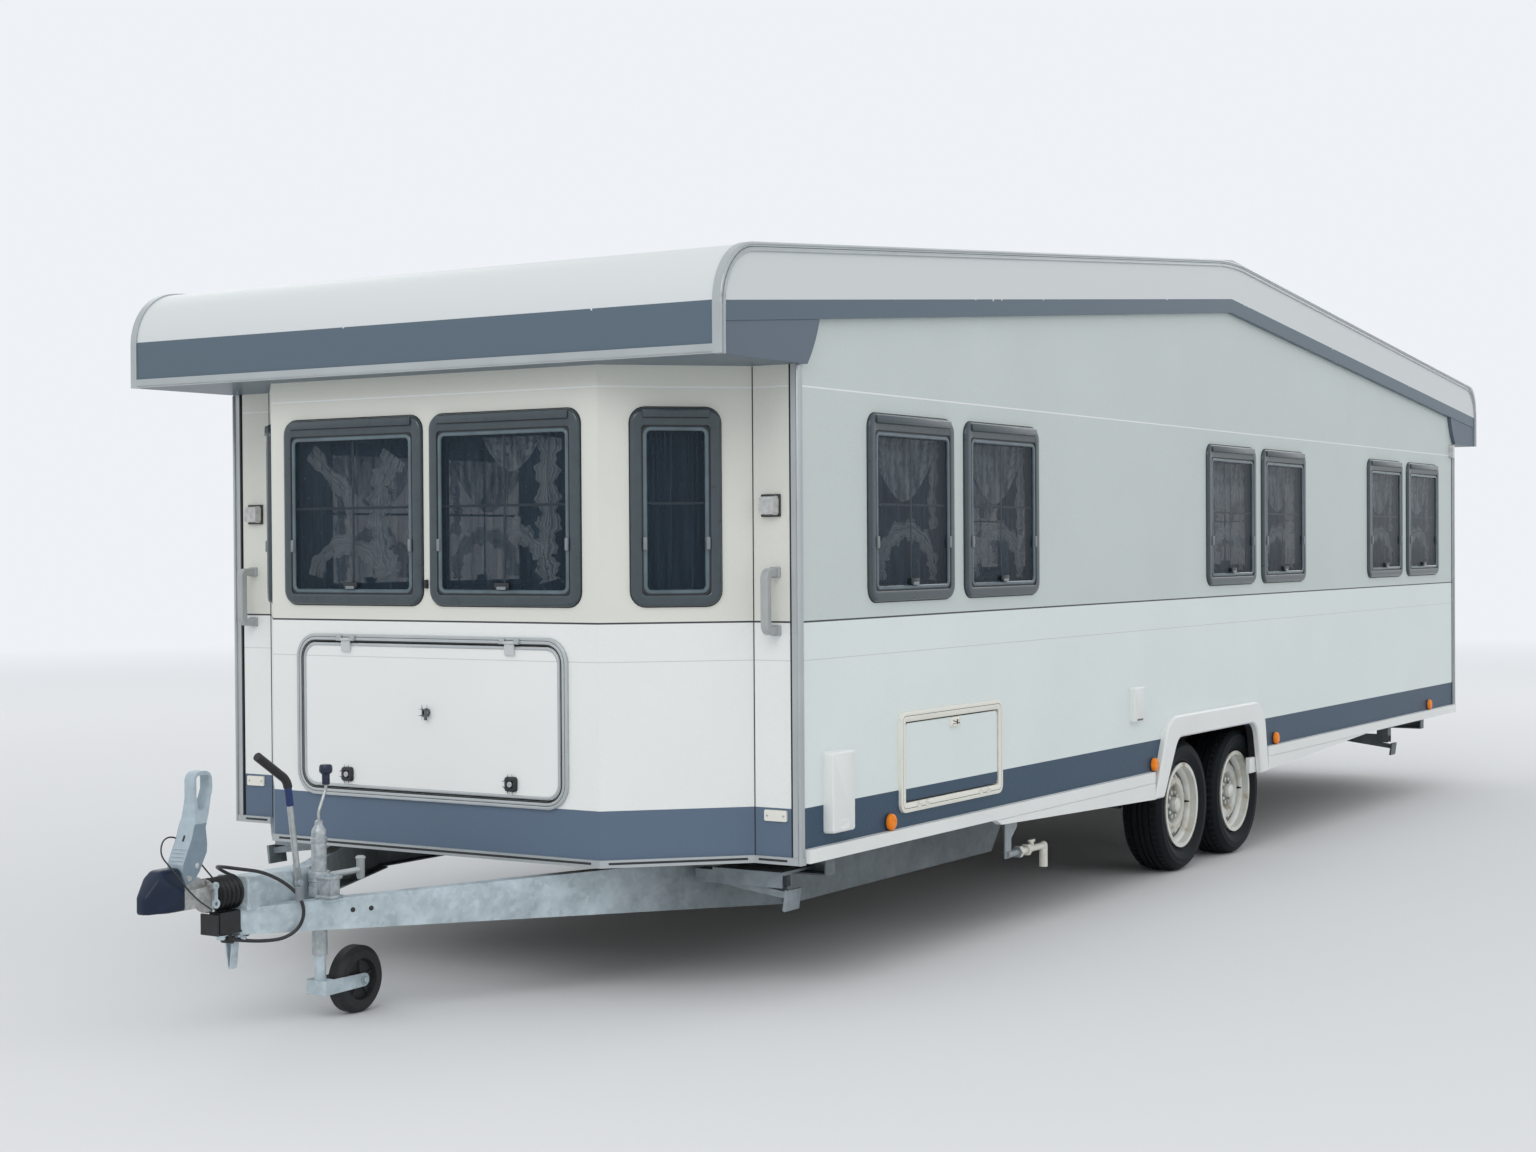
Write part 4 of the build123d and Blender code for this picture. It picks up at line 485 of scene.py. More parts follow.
# Sill ends: a short white return that closes each sill inside the rear leg of its
# wheel arch, clear of the tyre.
sill_end_x, sill_end_y, sill_end_z = -0.981, 1.226, 0.415
set_down(block("sill_end", (0.088, 0.074, 0.022), 0.003, white_gloss),
         [facing(sill_end_x, side * sill_end_y, sill_end_z, side * 90) for side in (1, -1)])

# Roof edge beads: two rounded lips on each edge rail, along both slopes and down
# the rounded cowl corners, with a dark grey line of painted shade in the groove
# between them, and a dark groove of painted shade in the rail under each cowl.
cowls = ((3.690, 1, 0.200), (-4.855, -1, 0.135))
bend_share = 0.916
soffit = 2.066


def on_slope(x):
    """Height of the roof's skin at a place along its length."""
    return ridge_z - abs(x - ridge_x) * roof_slope


def roof_edge(inset):
    """Corner points of the roof's side outline moved inwards, as straight runs."""
    front, rear = [face - out * inset for face, out, _ in cowls]
    return [(front, soffit), (front, on_slope(front) - inset), (ridge_x, ridge_z - inset),
            (rear, on_slope(rear) - inset), (rear, soffit)]


def select_only(piece):
    """Select one piece and nothing else, and make it the active one."""
    bpy.ops.object.select_all(action="DESELECT")
    piece.select_set(True)
    bpy.context.view_layer.objects.active = piece


def bare_line(name, points):
    """A piece made of nothing but a line of edges through the points, selected."""
    mesh = bpy.data.meshes.new(name)
    mesh.from_pydata(points, [(k, k + 1) for k in range(len(points) - 1)], [])
    line = bpy.data.objects.new(name, mesh)
    bpy.context.collection.objects.link(line)
    select_only(line)
    return line


def bent_rod(name, points, bends, thickness, made):
    """A round bar along straight runs; each bend is a corner's number and where it begins."""
    rod = bare_line(name, points)
    for corner, reach in bends:
        spot = Vector(points[corner])
        for point in rod.data.vertices:
            point.select = (point.co - spot).length < 0.0005
        bpy.ops.object.mode_set(mode="EDIT")
        bpy.ops.mesh.bevel(offset=reach, segments=10, affect="VERTICES")
        bpy.ops.object.mode_set(mode="OBJECT")
    bpy.ops.object.convert(target="CURVE")
    rod = bpy.context.object
    rod.data.bevel_depth = thickness / 2
    rod.data.bevel_resolution = 3
    rod.data.use_fill_caps = True
    bpy.ops.object.convert(target="MESH")
    return finish_piece(name, made, angle=40)


def edge_bead(name, inset, thickness, y, made):
    """A bead on the roof's edge, down both slopes and round the cowl corners."""
    corners = [(x, y, z) for x, z in roof_edge(inset)]
    bends = [(corner, (radius - inset) * bend_share) for corner, (_, _, radius) in zip((1, 3), cowls)]
    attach(bent_rod(name, corners, bends, thickness, made), "caravan")


# This dark grey is painted shade in the roof rail's grooves; the locker lid's catch and its tongue take it as
# their own colour.
groove_grey = mottled("groove_grey", (0.10, 0.11, 0.12), 0.6, grain=60, spread=0.2, bump=0.05, depth=0.0005)
for side in (1, -1):
    rail_out = side * (half_width + 0.0275)
    edge_bead("roof_edge_outer_bead", 0.0, 0.010, rail_out, bright)
    edge_bead("roof_edge_groove", 0.010, 0.004, rail_out, groove_grey)
    edge_bead("roof_edge_inner_bead", 0.021, 0.009, rail_out, bright)
cowl_wide = 2 * half_width
for x, out, _ in cowls:
    cowl_foot = [facing(x, 0, soffit, 90 - 90 * out)]
    lip = block("cowl_lip", (cowl_wide, 0.008, 0.004), 0.0015, bright, at=(0, 0.005, 0.001))
    set_down(lip, cowl_foot)
    groove = block("cowl_groove", (cowl_wide - 0.01, 0.004, 0.001), 0.0004, groove_grey, at=(0, 0.017, 0.0038))
    set_down(groove, cowl_foot)

# Windows: each has a grey moulded frame with a rounded outer edge and a deeper
# band at the top, where the hinge rail sits, ringed outside by a thin black painted
# shadow, and a glossy border bonded round the smoked pane, lighter grey than its own
# dark colour as a painted highlight, inside a black gasket ring that is partly painted
# shade; pale bars, side catches and a bottom latch show through.
window_z = 1.607
window_height = 0.645
side_window, bay_window, facet_window = 0.622, 0.631, 0.300
left_windows = (2.435, 1.721, -0.690, -1.408, -3.064, -3.785)
right_windows = (2.435, 1.721, -0.690, -3.064, -3.785)
bay_window_y = 0.333
window_places = {
    side_window: [facing(x, half_width, window_z, 90) for x in left_windows]
    + [facing(x, -half_width, window_z, -90) for x in right_windows],
    bay_window: [
        facing(x + bay_depth * out, side * bay_window_y, window_z, heading)
        for x, heading, out, side in end_corners
    ],
    facet_window: on_facets(window_z),
}
band, band_top = 0.037, 0.058


def start_moulding(size, radius, steps, at=(0, 0, 0), corner_steps=6):
    """The rounded sheet of a moulding, left in edit mode with its inmost face selected."""
    bpy.ops.mesh.primitive_plane_add(size=1)
    bpy.ops.object.mode_set(mode="EDIT")
    bpy.ops.transform.resize(value=(size[0], size[1], 1))
    bpy.ops.mesh.bevel(offset=radius, segments=corner_steps, affect="VERTICES")
    bpy.ops.transform.translate(value=at)
    for inset, lift in steps:
        bpy.ops.mesh.inset(thickness=inset, depth=lift)


def moulding(name, size, radius, steps, made, is_open=False, at=(0, 0, 0)):
    """A rounded sheet whose face is inset and lifted in turn; an open one ends as a ring."""
    start_moulding(size, radius, steps, at)
    if is_open:
        bpy.ops.mesh.delete(type="FACE")
    return finish_piece(name, made)


def window_frame(width):
    """The frame's shell: rounded outside, a deeper band at its top, open at the pane."""
    frame_steps = ((0.0005, 0.007), (0.002, 0.004), (0.005, 0.003), (0.007, 0.001), (0.015, -0.0005))
    start_moulding((width, window_height), 0.051, frame_steps, corner_steps=8)
    inner_edge = band - 0.004
    bpy.ops.mesh.inset(thickness=inner_edge - sum(inset for inset, _ in frame_steps), depth=0)
    tall = window_height - 2 * inner_edge
    bpy.ops.transform.resize(value=(1, (tall - band_top + band) / tall, 1))
    bpy.ops.transform.translate(value=(0, (band - band_top) / 2, 0))
    for inset, lift in ((0.003, -0.002), (0.001, -0.046)):
        bpy.ops.mesh.inset(thickness=inset, depth=lift)
    bpy.ops.mesh.delete(type="FACE")
    return finish_piece("window_frame", frame_grey)


frame_grey = mottled(
    "frame_grey", (0.041, 0.060, 0.071), 0.30, grain=24, spread=0.10, bump=0.05, depth=0.001, coat=0.3,
)
# The pane's border is drawn lighter grey than its own dark colour: a painted highlight along the pane's edge.
border_highlight_grey = mottled(
    "border_highlight_grey", (0.105, 0.145, 0.168), 0.14, grain=12, spread=0.2, bump=0.03, depth=0.001,
)
catch_grey = mottled("catch_grey", (0.21, 0.24, 0.26), 0.38, grain=40, spread=0.08, bump=0.05, depth=0.0005)
latch_black = mottled(
    "latch_black", (0.02, 0.022, 0.025), 0.35, grain=40, spread=0.2, bump=0.05, depth=0.0005,
)
frame_shadow_steps, gasket_and_shade_steps = ((0.0003, 0.0012), (0.0045, 0)), ((0.0003, 0.0003), (0.011, 0))
border_steps = ((0.0005, 0.004), (0.003, 0.0025), (0.007, 0.0), (0.003, -0.003), (0.0005, -0.004))
rail_tall, half_tall = 0.026, window_height / 2
catch_v, level_bar_v = -0.118, 0.012
for width, places in window_places.items():
    pane_wide, pane_tall = width - 2 * band, window_height - band - band_top
    pane_v = (band - band_top) / 2
    set_down(window_frame(width), places, replaced=("window_frames",))
    # The thin black ring just outside each frame is a painted shadow round the frame.
    size = (width + 0.007, window_height + 0.007)
    set_down(moulding("frame_shadow_ring", size, 0.054, frame_shadow_steps, seal_and_shade_black, True), places)
    # The black ring inside the frame's inner edge is the pane's gasket and painted shade in the gap between
    # frame and pane.
    size = (pane_wide + 0.006, pane_tall + 0.006)
    set_down(moulding("pane_gasket_and_shade", size, 0.030, gasket_and_shade_steps, seal_and_shade_black, True, at=(0, pane_v, 0.0098)), places)
    size = (pane_wide - 0.008, pane_tall - 0.008)
    border = moulding("pane_border", size, 0.027, border_steps, border_highlight_grey, True, at=(0, pane_v, 0.0075))
    set_down(border, places)
    rail_v, shadow_v = half_tall - 0.006 - rail_tall / 2, half_tall - 0.008 - rail_tall
    catch_u = width / 2 - 0.046
    blocks = [
        ("hinge_rail", (width - 0.078, rail_tall, 0.009), 0.003, frame_grey, (0, rail_v, 0.0125)),
        ("rail_shadow", (width - 0.082, 0.003, 0.004), 0.0008, latch_black, (0, shadow_v, 0.0125)),
        ("side_catch", (0.013, 0.042, 0.010), 0.003, catch_grey, (-catch_u, catch_v, 0.011)),
        ("side_catch", (0.013, 0.042, 0.010), 0.003, catch_grey, (catch_u, catch_v, 0.011)),
        ("level_bar", (width - 0.092, 0.009, 0.003), 0.001, catch_grey, (0, level_bar_v, -0.004)),
    ]
    if width > facet_window:
        bar_tall, latch_v, tongue_v = window_height - 0.13, 0.068 - half_tall, 0.060 - half_tall
        blocks += [
            ("upright_bar", (0.009, bar_tall, 0.003), 0.001, catch_grey, (0, pane_v, -0.003)),
            ("latch_body", (0.062, 0.020, 0.010), 0.003, latch_black, (0, latch_v, 0.009)),
            ("latch_tongue", (0.038, 0.011, 0.006), 0.002, catch_grey, (0, tongue_v, 0.016)),
        ]
    for name, size, bevel, made, at in blocks:
        set_down(block(name, size, bevel, made, at=at), places)
middle_stay = block("window_stay", (0.012, 0.030, 0.012), 0.003, latch_black, at=(0, -0.250, 0))
set_down(middle_stay, on_bays(window_z))

# Panes: acrylic smoked so dark that the nets behind it show only faintly, and a
# little dusty, so that it shines more in some places than in others.
smoked, tree, shader = new_material("smoked_acrylic")
dust = add_node(tree, "TexNoise", {"Vector": object_place(tree), "Scale": 7.0}).outputs["Fac"]
feed(tree, shader, {
    "Base Color": (0.010, 0.022, 0.036, 1), "Alpha": 0.42, "Specular IOR Level": 0.22,
    "Roughness": add_range(tree, dust, 0.03, 0.14),
})
dress(smoked, "window_panes", "door_pane")

# Curtains: fine spotted net behind every window, hung from a wire in upright folds,
# with a second net gathered over it: a swag, crimped bands and a round lower piece.
# The cloth is laid by formula inside the 12 mm that the curtain track leaves.
net_w, trim_w = -0.0395, -0.0355
net_tall = 0.640


def net_cloth(name, colour, thin, thick, folds):
    """Thin net: see-through between its threads, thicker in the folds and at the spots."""
    made, tree, shader = new_material(name)
    over_cloth = add_node(tree, "TexCoord", {}).outputs["UV"]
    stretch = add_node(tree, "Mapping", {"Vector": over_cloth, "Scale": (folds, 1.2, 1)}).outputs["Vector"]
    drape = add_node(tree, "TexNoise", {"Vector": stretch, "Scale": 1.0, "Detail": 3.0}).outputs["Fac"]
    cover = add_range(tree, drape, thin, thick, 0.35, 0.65)
    grid = add_node(tree, "Mapping", {"Vector": over_cloth, "Scale": (14, 16, 1)}).outputs["Vector"]
    from_spot = add_node(tree, "TexVoronoi", {"Vector": grid, "Scale": 1.0}).outputs["Distance"]
    is_spot = add_math(tree, "LESS_THAN", from_spot, 0.10)
    feed(tree, shader, {
        "Base Color": (*colour, 1), "Roughness": 0.9,
        "Alpha": add_math(tree, "MAXIMUM", cover, is_spot),
    })
    return made


plain_net = net_cloth("plain_net", (0.26, 0.40, 0.54), 0.08, 0.50, 26.0)
trim_net = net_cloth("trim_net", (0.84, 0.95, 1.0), 0.20, 0.96, 15.0)


def lay_net(name, across, down, made, lay):
    """A net laid point by point: lay gives u, v and depth from its share across and down."""
    bpy.ops.mesh.primitive_grid_add(x_subdivisions=across, y_subdivisions=down, size=1)
    net = bpy.context.object
    net.name = name
    for point in net.data.vertices:
        point.co = lay(point.co.x + 0.5, 0.5 - point.co.y)
    bpy.ops.object.shade_smooth()
    net.data.materials.append(made)
    return net


def folded_net(name, width, folds):
    """The plain net, in upright folds that wander a little on their way down."""
    def lay(s, t):
        fold = sin(2 * pi * folds * s + 0.9 * sin(5 * t + 3 * s))
        return ((s - 0.5) * width, (0.5 - t) * net_tall, net_w + 0.0036 * fold)
    return lay_net(name, int(folds * 7), 8, plain_net, lay)


def along(points, share):
    """Place and sideways direction at a share of the way along a bent line."""
    step = share * (len(points) - 1)
    first = min(int(step), len(points) - 2)
    a, b = Vector(points[first]), Vector(points[first + 1])
    ahead = (b - a).normalized()
    return a.lerp(b, step - first), Vector((-ahead.y, ahead.x))


def crimped_band(name, points, wide, crimps):
    """A gathered strip of net along a line, pinched and puffed as it goes."""
    def lay(s, t):
        middle, side = along(points, t)
        puff = 1 + 0.28 * sin(crimps * pi * t) + 0.12 * sin(2.7 * crimps * pi * t + 1)
        spot = middle + side * (s - 0.5) * wide * puff
        ripple = sin(2 * pi * crimps * t + 2.5 * s) * cos(7 * s + 3 * t)
        return (spot.x, spot.y, trim_w + 0.0028 * ripple)
    return lay_net(name, 6, int(crimps * 8), trim_net, lay)


def swag(name, left, right, top, drop, folds):
    """A net hung from two corners, its lower edge a deep curve, its folds crossing it."""
    def lay(s, t):
        low = drop * (1 - abs(2 * s - 1) ** 1.7) ** 0.9
        return (left + s * (right - left), top - t * low, trim_w + 0.0024 * sin(2 * pi * folds * t + 2 * s))
    return lay_net(name, 20, int(folds * 5), trim_net, lay)


def arc(cu, cv, ru, rv, start, end, count=14):
    """Points on an ellipse's arc, from one angle to another."""
    turns = [radians(start + (end - start) * k / count) for k in range(count + 1)]
    return [(cu + ru * cos(turn), cv + rv * sin(turn)) for turn in turns]


def hang(places, *nets):
    """Hang each net in every window; the flat cloth given with each net is not used."""
    for net, flat in nets:
        for piece in set_down(net, places, replaced=("curtains",)):
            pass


side_ruffle_line = [(0.245, 0.235), (0.238, 0.12), (0.222, 0.02), (0.236, -0.07)]
hang(
    window_places[side_window],
    (folded_net("side_net", 0.600, 17), (0.85, 0.640)),
    (swag("side_swag", -0.245, 0.262, 0.245, 0.222, 4), (0.51, 0.16)),
    (crimped_band("side_ruffle", side_ruffle_line, 0.058, 7), (0.06, 0.33)),
    (crimped_band("side_arch", arc(0.035, -0.225, 0.195, 0.150, 190, -12), 0.068, 12), (0.07, 0.60)),
)
right_ruffle_line = [(0.165, 0.235), (0.15, 0.10), (0.16, -0.03), (0.14, -0.15), (0.16, -0.24)]
hang(
    window_places[bay_window][0::2],
    (folded_net("bay_net", 0.610, 15), (0.80, 0.640)),
    (swag("bay_swag", -0.12, 0.13, 0.240, 0.115, 3), (0.25, 0.105)),
    (crimped_band("bay_ruffle", right_ruffle_line, 0.085, 12), (0.086, 0.50)),
    (crimped_band("bay_branch", [(0.0, -0.045), (0.06, -0.09), (0.13, -0.15)], 0.060, 5), (0.062, 0.18)),
)
tie_line = [(-0.225, 0.215), (-0.15, 0.14), (-0.075, 0.075)]
edge_line = [(-0.07, 0.08), (-0.05, 0.0), (-0.045, -0.08), (-0.06, -0.15)]
left_ruffle_line = [(0.16, 0.19), (0.10, 0.09), (0.085, -0.02), (0.10, -0.13), (0.13, -0.22)]
hang(
    window_places[bay_window][1::2],
    (folded_net("bay_net", 0.610, 15), (0.80, 0.640)),
    (crimped_band("bay_tie", tie_line, 0.055, 3), (0.056, 0.22)),
    (crimped_band("bay_edge", edge_line, 0.030, 3), (0.031, 0.25)),
    (crimped_band("bay_ruffle", left_ruffle_line, 0.095, 12), (0.096, 0.45)),
    (crimped_band("bay_round", arc(-0.06, -0.235, 0.15, 0.12, 175, 5), 0.060, 6), (0.062, 0.43)),
)
hang(window_places[facet_window], (folded_net("facet_net", 0.280, 8), (0.40, 0.640)))

# Hatches: the gas locker has an aluminium frame of two lips with a thin line of
# painted shade in the groove between them, a black seal and a lid with its own edge
# band and two black locks; the service hatch is cream plastic.
def banded(name, axis, bands):
    """Bands of finish along one axis: each row has its start, colour, roughness and metal."""
    made, tree, shader = new_material(name)
    place = object_place(tree)
    low, high = bands[0][0], bands[-1][0] + 0.1
    share = add_range(tree, split(tree, place)[axis], 0.0, 1.0, low, high)
    colours, finishes = [], []
    for start, colour, rough, metal in bands:
        position = (start - low) / (high - low)
        colours.append((position, colour))
        finishes.append((position, (rough, metal, 0)))
    grain = add_node(tree, "TexNoise", {"Vector": place, "Scale": 45.0}).outputs["Fac"]
    finish = add_node(tree, "SeparateColor", {"Color": add_ramp(tree, share, finishes, stepped=True)})
    feed(tree, shader, {
        "Base Color": add_shade(
            tree, add_ramp(tree, share, colours, stepped=True), add_range(tree, grain, 0.8, 1.15),
        ),
        "Roughness": finish.outputs["Red"], "Metallic": finish.outputs["Green"],
    })
    return made


rim_colour, rim_rough, rim_share = (0.50, 0.53, 0.54), 0.34, 0.55
rim_metal = mottled(
    "rim_metal", rim_colour, rim_rough, metal=rim_share, grain=8, spread=0.06, bump=0.02, depth=0.001,
)
service_starts_y = 1.2
rim_bands = ((-1.4, rim_colour, rim_rough, rim_share), (service_starts_y, cream_colour, cream_rough, 0))
dress(banded("hatch_rim_finish", "Y", rim_bands), "hatch_rims")
locker = facing(front_face_x + bay_depth, 0, 0.902, 0)
service = facing(2.139, half_width, 0.719, 90)
door = facing(0.710, -half_width, 1.3975, -90)
locker_wide, locker_tall, locker_radius = 1.188, 0.563, 0.086
lip_steps = ((0.0003, 0.0003), (0.003, 0.0006), (0.004, 0), (0.003, -0.0006))
# The first, thin locker_line is painted shade in the groove between the two lips; the second, wider one is the
# black seal.
for name, inset, steps, made, lift in (
    ("locker_lip", 0.0, lip_steps, rim_metal, 0.0098),
    ("locker_lip", 0.0115, lip_steps, rim_metal, 0.0098),
    ("locker_line", 0.0101, ((0.0003, 0.0003), (0.0016, 0)), seal_and_shade_black, 0.0100),
    ("locker_line", 0.0215, ((0.0003, 0.0003), (0.0046, 0)), seal_and_shade_black, 0.0100),
):
    size = (locker_wide - 2 * inset, locker_tall - 2 * inset)
    set_down(moulding(name, size, locker_radius - inset, steps, made, True, at=(0, 0, lift)), [locker])
lid_edge_steps = ((0.0005, 0.002), (0.0015, 0.001), (0.006, 0), (0.0015, -0.001), (0.0005, -0.001))
lid_edge = moulding("lid_edge", (1.125, 0.500), 0.056, lid_edge_steps, rim_metal, True, at=(0, 0, 0.006))
set_down(lid_edge, [locker], body="gas_locker_lid")
lock_u, lock_v = 0.360, -0.205
lock_spots = [locker @ Matrix.Translation((side * lock_u, lock_v, 0.006)) for side in (-1, 1)]
lock_steps = ((0.0005, 0.008), (0.003, 0.004), (0.008, 0.001), (0.003, -0.003))
lock = moulding("lid_lock", (0.050, 0.050), 0.011, lock_steps, latch_black)
set_down(lock, lock_spots, body="gas_locker_lid")
barrel_steps = ((0.0005, 0.004), (0.001, 0.001), (0.006, 0))
barrel = moulding("lock_barrel", (0.020, 0.020), 0.0099, barrel_steps, rim_metal, at=(0, 0, 0.0095))
set_down(barrel, lock_spots, body="gas_locker_lid")
catch_steps = ((0.0005, 0.010), (0.003, 0.004), (0.002, 0.002), (0.003, 0.001))
catch_knob = moulding("lid_catch", (0.027, 0.027), 0.0134, catch_steps, groove_grey, at=(0, 0.021, 0.006))
set_down(catch_knob, [locker], body="gas_locker_lid")
catch_tongue = block("catch_tongue", (0.010, 0.034, 0.006), 0.002, groove_grey, at=(0.004, 0.012, 0.018))
set_down(catch_tongue, [locker], body="gas_locker_lid")

service_steps = (
    (0.0005, 0.0108), (0.002, 0.001), (0.010, 0), (0.001, -0.0008), (0.002, 0), (0.001, 0.0008),
    (0.014, 0), (0.002, -0.001), (0.0005, -0.010),
)
set_down(moulding("service_frame", (0.796, 0.352), 0.034, service_steps, cream, True), [service])
shadow_brown = mottled("shadow_brown", (0.14, 0.13, 0.11), 0.6, grain=60, spread=0.2, bump=0.05, depth=0.0005)
service_line_steps = ((0.0003, 0.0003), (0.0022, 0))
service_line = moulding("service_line", (0.770, 0.326), 0.022, service_line_steps, shadow_brown, True,
                        at=(0, 0, 0.0108))
set_down(service_line, [service])
service_lid_steps = ((0.0006, 0.0064), (0.0015, 0.0006), (0.004, 0))
service_lid = moulding("service_lid", (0.717, 0.273), 0.018, service_lid_steps, service_skin)
set_down(service_lid, [service, service @ Matrix.Rotation(pi, 4, "Y")], body="service_hatch_lid",
         replaced=("service_hatch_lid",))
service_lock_v = 0.1175
service_lock_steps = ((0.0005, 0.007), (0.003, 0.003), (0.010, 0.0005))
service_lock = moulding("service_lock", (0.074, 0.036), 0.010, service_lock_steps, cream,
                        at=(0.010, service_lock_v, 0.006))
set_down(service_lock, [service], body="service_hatch_lid")
service_key = block("service_key", (0.008, 0.018, 0.0012), 0.0005, latch_black,
                    at=(0.016, service_lock_v, 0.0166))
set_down(service_key, [service], body="service_hatch_lid")
door_ring_steps = ((0.0005, 0.010), (0.004, 0.004), (0.018, 0), (0.004, -0.004), (0.0005, -0.008))
door_ring = moulding("door_window_ring", (0.438, 0.618), 0.078, door_ring_steps, latch_black, True,
                     at=(0, 0.500, 0.006))
set_down(door_ring, [door], body="entrance_door")

# Covers on the near side: a tall moulded box over the mains inlet, with a finger
# dip at its foot, and a small plain box over a vent.
near_wall = facing(0, half_width, 0, 90)
inlet_u, vent_u = -2.975, -0.455
tall_cover_steps = ((0.002, 0.0325), (0.002, 0.003), (0.004, 0.002))
tall_cover = moulding("tall_cover", (0.150, 0.270), 0.013, tall_cover_steps, white_gloss,
                      at=(inlet_u, 0.665, 0))
set_down(tall_cover, [near_wall], replaced=("side_covers",))
dip_steps = ((0.0005, 0.0012), (0.002, 0.0005), (0.002, -0.0007))
cover_dip = moulding("cover_dip", (0.070, 0.034), 0.0168, dip_steps, white_gloss, at=(inlet_u, 0.556, 0.0370))
set_down(cover_dip, [near_wall])
small_cover_steps = ((0.001, 0.020), (0.002, 0.003), (0.004, 0.002))
small_cover = moulding("small_cover", (0.115, 0.150), 0.010, small_cover_steps, white_gloss,
                       at=(vent_u, 0.795, 0))
set_down(small_cover, [near_wall], replaced=("side_covers",))
cover_slot = block("cover_slot", (0.060, 0.007, 0.002), 0.0008, shadow_brown, at=(vent_u, 0.731, 0.0243))
set_down(cover_slot, [near_wall])

# Grab handles: pale grey square-section plastic, one upright at each corner of both
# ends, with a boss at each foot.
handle_grey = mottled(
    "handle_grey", (0.40, 0.42, 0.425), 0.42, grain=20, spread=0.05, bump=0.04, depth=0.0005,
)
dress(handle_grey, "grab_handles")
fitting_y = 1.165
boss_steps = ((0.001, 0.010), (0.002, 0.002), (0.004, 0))
foot_boss = moulding("handle_foot", (0.040, 0.036), 0.006, boss_steps, handle_grey)
set_down(foot_boss, [
    facing(x, side * fitting_y, z, heading) for x, heading, _, side in end_corners for z in (1.204, 1.393)
])

# Lamps: domed orange side lamps on a thin foot, square clear marker lamps with a
# black foot, tall red rear lamps, and screwed blank plates over the sill band.
def turned(name, profile, made, sides=24):
    """A turned piece: a line of radius and height points spun round the upright axis."""
    bare_line(name, [(radius, 0, height) for radius, height in profile])
    bpy.ops.object.mode_set(mode="EDIT")
    bpy.ops.mesh.select_all(action="SELECT")
    bpy.ops.mesh.spin(steps=sides, angle=2 * pi, axis=(0, 0, 1), center=(0, 0, 0))
    bpy.ops.mesh.select_all(action="SELECT")
    bpy.ops.mesh.remove_doubles(threshold=0.00005)
    bpy.ops.mesh.normals_make_consistent(inside=False)
    return finish_piece(name, made)


orange_lens = mottled(
    "orange_lens", (0.96, 0.24, 0.006), 0.22, grain=90, spread=0.12, bump=0.25, depth=0.001, shine=0.25,
)
side_lamp_z, side_lamp_places = 0.523, (2.608, 0.264, -1.272, -3.898)
lamp_spots = [
    facing(x, side * half_width, side_lamp_z, side * 90) for side in (1, -1) for x in side_lamp_places
]
lamp_foot = turned("lamp_foot", ((0.031, 0.0), (0.031, 0.004), (0.029, 0.006), (0.0, 0.006)), latch_black)
set_down(lamp_foot, lamp_spots)
lamp_dome = turned("lamp_dome", (
    (0.029, 0.004), (0.029, 0.012), (0.027, 0.017), (0.022, 0.0205), (0.012, 0.0225), (0.010, 0.0218),
    (0.0, 0.0222),
), orange_lens)
set_down(lamp_dome, lamp_spots, replaced=("side_lamps",))
clear_lens = mottled("clear_lens", (0.50, 0.51, 0.50), 0.15, grain=60, spread=0.2, bump=0.3, coat=0.6)
dress(clear_lens, "marker_lamps")
red_lens = mottled("red_lens", (0.50, 0.012, 0.010), 0.2, grain=70, spread=0.15, bump=0.15, coat=0.4)
rear_spots = [facing(rear_face_x, side * fitting_y, 0.800, 180) for side in (1, -1)]
rear_base = block("rear_lamp_base", (0.094, 0.330, 0.014), 0.006, latch_black)
set_down(rear_base, rear_spots, replaced=("rear_lamps",))
for name, made, tall, v in (
    ("stop_lens", red_lens, 0.150, 0.083),
    ("turn_lens", orange_lens, 0.076, -0.034),
    ("back_lens", white_gloss, 0.076, -0.114),
):
    set_down(block(name, (0.084, tall, 0.026), 0.005, made, at=(0, v, 0.010)), rear_spots)
marker_y, marker_z = 1.150, 1.610
marker_foot = block("marker_foot", (0.074, 0.074, 0.008), 0.003, latch_black)
set_down(marker_foot, [facing(x, side * marker_y, marker_z, heading) for x, heading, _, side in end_corners])
plate_y, plate_z, screw_u = 1.161, 0.601, 0.031
screw_line = ((0.004, 0.0), (0.004, 0.001), (0.002, 0.0022), (0.0, 0.0024))
screw_head = turned("plate_screw", screw_line, rim_metal, sides=10)
set_down(screw_head, [
    facing(x, side * plate_y, plate_z, heading) @ Matrix.Translation((u, 0, 0.007))
    for x, heading, _, side in end_corners for u in (-screw_u, screw_u)
])

# Roof fittings: two rooflights, each an opal dome clipped on a white frame, and the
# heater's flue with its rain cap.
opal = mottled("opal_dome", (0.60, 0.63, 0.63), 0.22, grain=9, spread=0.08, bump=0.05, depth=0.002)


def on_roof(x, y):
    """Matrix that sets a flat piece on the roof, level with the slope there."""
    lean = roof_slope_angle if x > ridge_x else -roof_slope_angle
    return Matrix.Translation((x, y, on_slope(x))) @ Matrix.Rotation(lean, 4, "Y")


